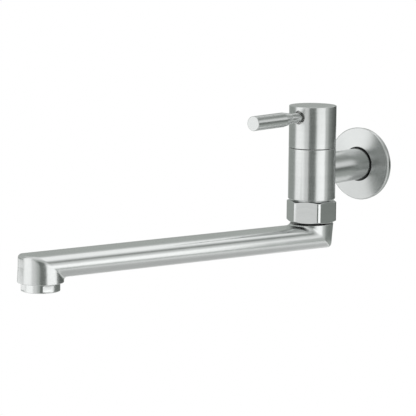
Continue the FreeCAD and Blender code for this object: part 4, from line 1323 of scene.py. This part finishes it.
def set_camera():
    """Aims the camera: forward follows the yaw and the pitch, and right and up are rolled about it."""
    look = settings("studio")
    yaw, pitch, roll = look.yaw, look.pitch, look.roll
    forward = Vector((-math.sin(yaw) * math.cos(pitch), math.cos(yaw) * math.cos(pitch), -math.sin(pitch)))
    right = Vector((math.cos(yaw), math.sin(yaw), 0))
    up = right.cross(forward)
    right, up = (
        math.cos(roll) * right + math.sin(roll) * up,
        math.cos(roll) * up - math.sin(roll) * right,
    )
    camera = bpy.data.cameras.new("camera")
    camera.lens = look.lens
    camera.sensor_width = look.sensor
    camera.clip_end = 20
    made = bpy.data.objects.new("camera", camera)
    turn = Matrix((right, up, -forward)).transposed()
    made.matrix_world = Matrix.Translation(Vector(look.camera_place)) @ turn.to_4x4()
    bpy.context.scene.collection.objects.link(made)
    bpy.context.scene.camera = made
    bpy.context.scene.view_settings.view_transform = "Standard"


class TAP_OT_finishes(bpy.types.Operator):
    """Make the tap's materials"""

    bl_idname = "tap.finishes"
    bl_label = "Finishes"

    def execute(self, context):
        make_finishes()
        return {"FINISHED"}


class TAP_OT_solids(bpy.types.Operator):
    """Give the tap's inner solids their finishes"""

    bl_idname = "tap.solids"
    bl_label = "Inner parts"

    def execute(self, context):
        dress_solids()
        return {"FINISHED"}


class TAP_OT_cap(bpy.types.Operator):
    """Make the handle's cap"""

    bl_idname = "tap.cap"
    bl_label = "Handle cap"

    def execute(self, context):
        make_cap()
        return {"FINISHED"}


class TAP_OT_body(bpy.types.Operator):
    """Make the valve body"""

    bl_idname = "tap.body"
    bl_label = "Valve body"

    def execute(self, context):
        make_body()
        return {"FINISHED"}


class TAP_OT_lever(bpy.types.Operator):
    """Make the lever and its screw"""

    bl_idname = "tap.lever"
    bl_label = "Lever"

    def execute(self, context):
        make_lever()
        return {"FINISHED"}


class TAP_OT_nut(bpy.types.Operator):
    """Make the coupling nut"""

    bl_idname = "tap.nut"
    bl_label = "Coupling nut"

    def execute(self, context):
        make_nut()
        return {"FINISHED"}


class TAP_OT_spout(bpy.types.Operator):
    """Make the spout"""

    bl_idname = "tap.spout"
    bl_label = "Spout"

    def execute(self, context):
        make_spout()
        return {"FINISHED"}


class TAP_OT_outlet(bpy.types.Operator):
    """Make the aerator's shell and screen"""

    bl_idname = "tap.outlet"
    bl_label = "Aerator"

    def execute(self, context):
        make_outlet()
        return {"FINISHED"}


class TAP_OT_arm(bpy.types.Operator):
    """Make the inlet arm with its pipe thread"""

    bl_idname = "tap.arm"
    bl_label = "Inlet arm"

    def execute(self, context):
        make_arm()
        return {"FINISHED"}


class TAP_OT_flange(bpy.types.Operator):
    """Make the wall flange and its rubber ring"""

    bl_idname = "tap.flange"
    bl_label = "Wall flange"

    def execute(self, context):
        make_flange()
        make_seal()
        return {"FINISHED"}


class TAP_OT_stage(bpy.types.Operator):
    """Set up the camera, the floor and the light"""

    bl_idname = "tap.stage"
    bl_label = "Studio"

    def execute(self, context):
        set_camera()
        light_world()
        make_floor()
        for name, card in NEAR_CARDS.items():
            make_card(name, *card)
        return {"FINISHED"}


STEPS = (
    TAP_OT_finishes, TAP_OT_stage, TAP_OT_solids, TAP_OT_cap, TAP_OT_body, TAP_OT_lever, TAP_OT_nut,
    TAP_OT_spout, TAP_OT_outlet, TAP_OT_arm, TAP_OT_flange,
)


class TAP_PT_panel(bpy.types.Panel):
    """Lists the tap's pieces and their sizes"""

    bl_idname = "TAP_PT_panel"
    bl_label = "Wall tap"
    bl_space_type = "VIEW_3D"
    bl_region_type = "UI"
    bl_category = "Tap"

    def draw(self, context):
        for step in STEPS:
            self.layout.operator(step.bl_idname)
        for name in GROUPS:
            box = self.layout.box()
            group = settings(name)
            box.label(text=name.capitalize())
            for prop in group.bl_rna.properties[2:]:
                box.prop(group, prop.identifier)


GROUPS = {
    "body": TapBodySizes,
    "lever": TapLeverSizes,
    "nut": TapNutSizes,
    "spout": TapSpoutSizes,
    "outlet": TapOutletSizes,
    "wall": TapWallSizes,
    "finish": TapFinishColours,
    "studio": TapStudio,
}


def register():
    for kind in (*GROUPS.values(), *STEPS, TAP_PT_panel):
        bpy.utils.register_class(kind)
    for name, kind in GROUPS.items():
        setattr(bpy.types.Scene, "tap_" + name, PointerProperty(type=kind))


def unregister():
    for name in GROUPS:
        delattr(bpy.types.Scene, "tap_" + name)
    for kind in reversed((*GROUPS.values(), *STEPS, TAP_PT_panel)):
        bpy.utils.unregister_class(kind)


def main():
    register()
    bpy.ops.tap.finishes()
    bpy.ops.tap.stage()
    bpy.ops.tap.solids()
    bpy.ops.tap.cap()
    bpy.ops.tap.body()
    bpy.ops.tap.lever()
    bpy.ops.tap.nut()
    bpy.ops.tap.spout()
    bpy.ops.tap.outlet()
    bpy.ops.tap.arm()
    bpy.ops.tap.flange()


if __name__ == "__main__":
    main()
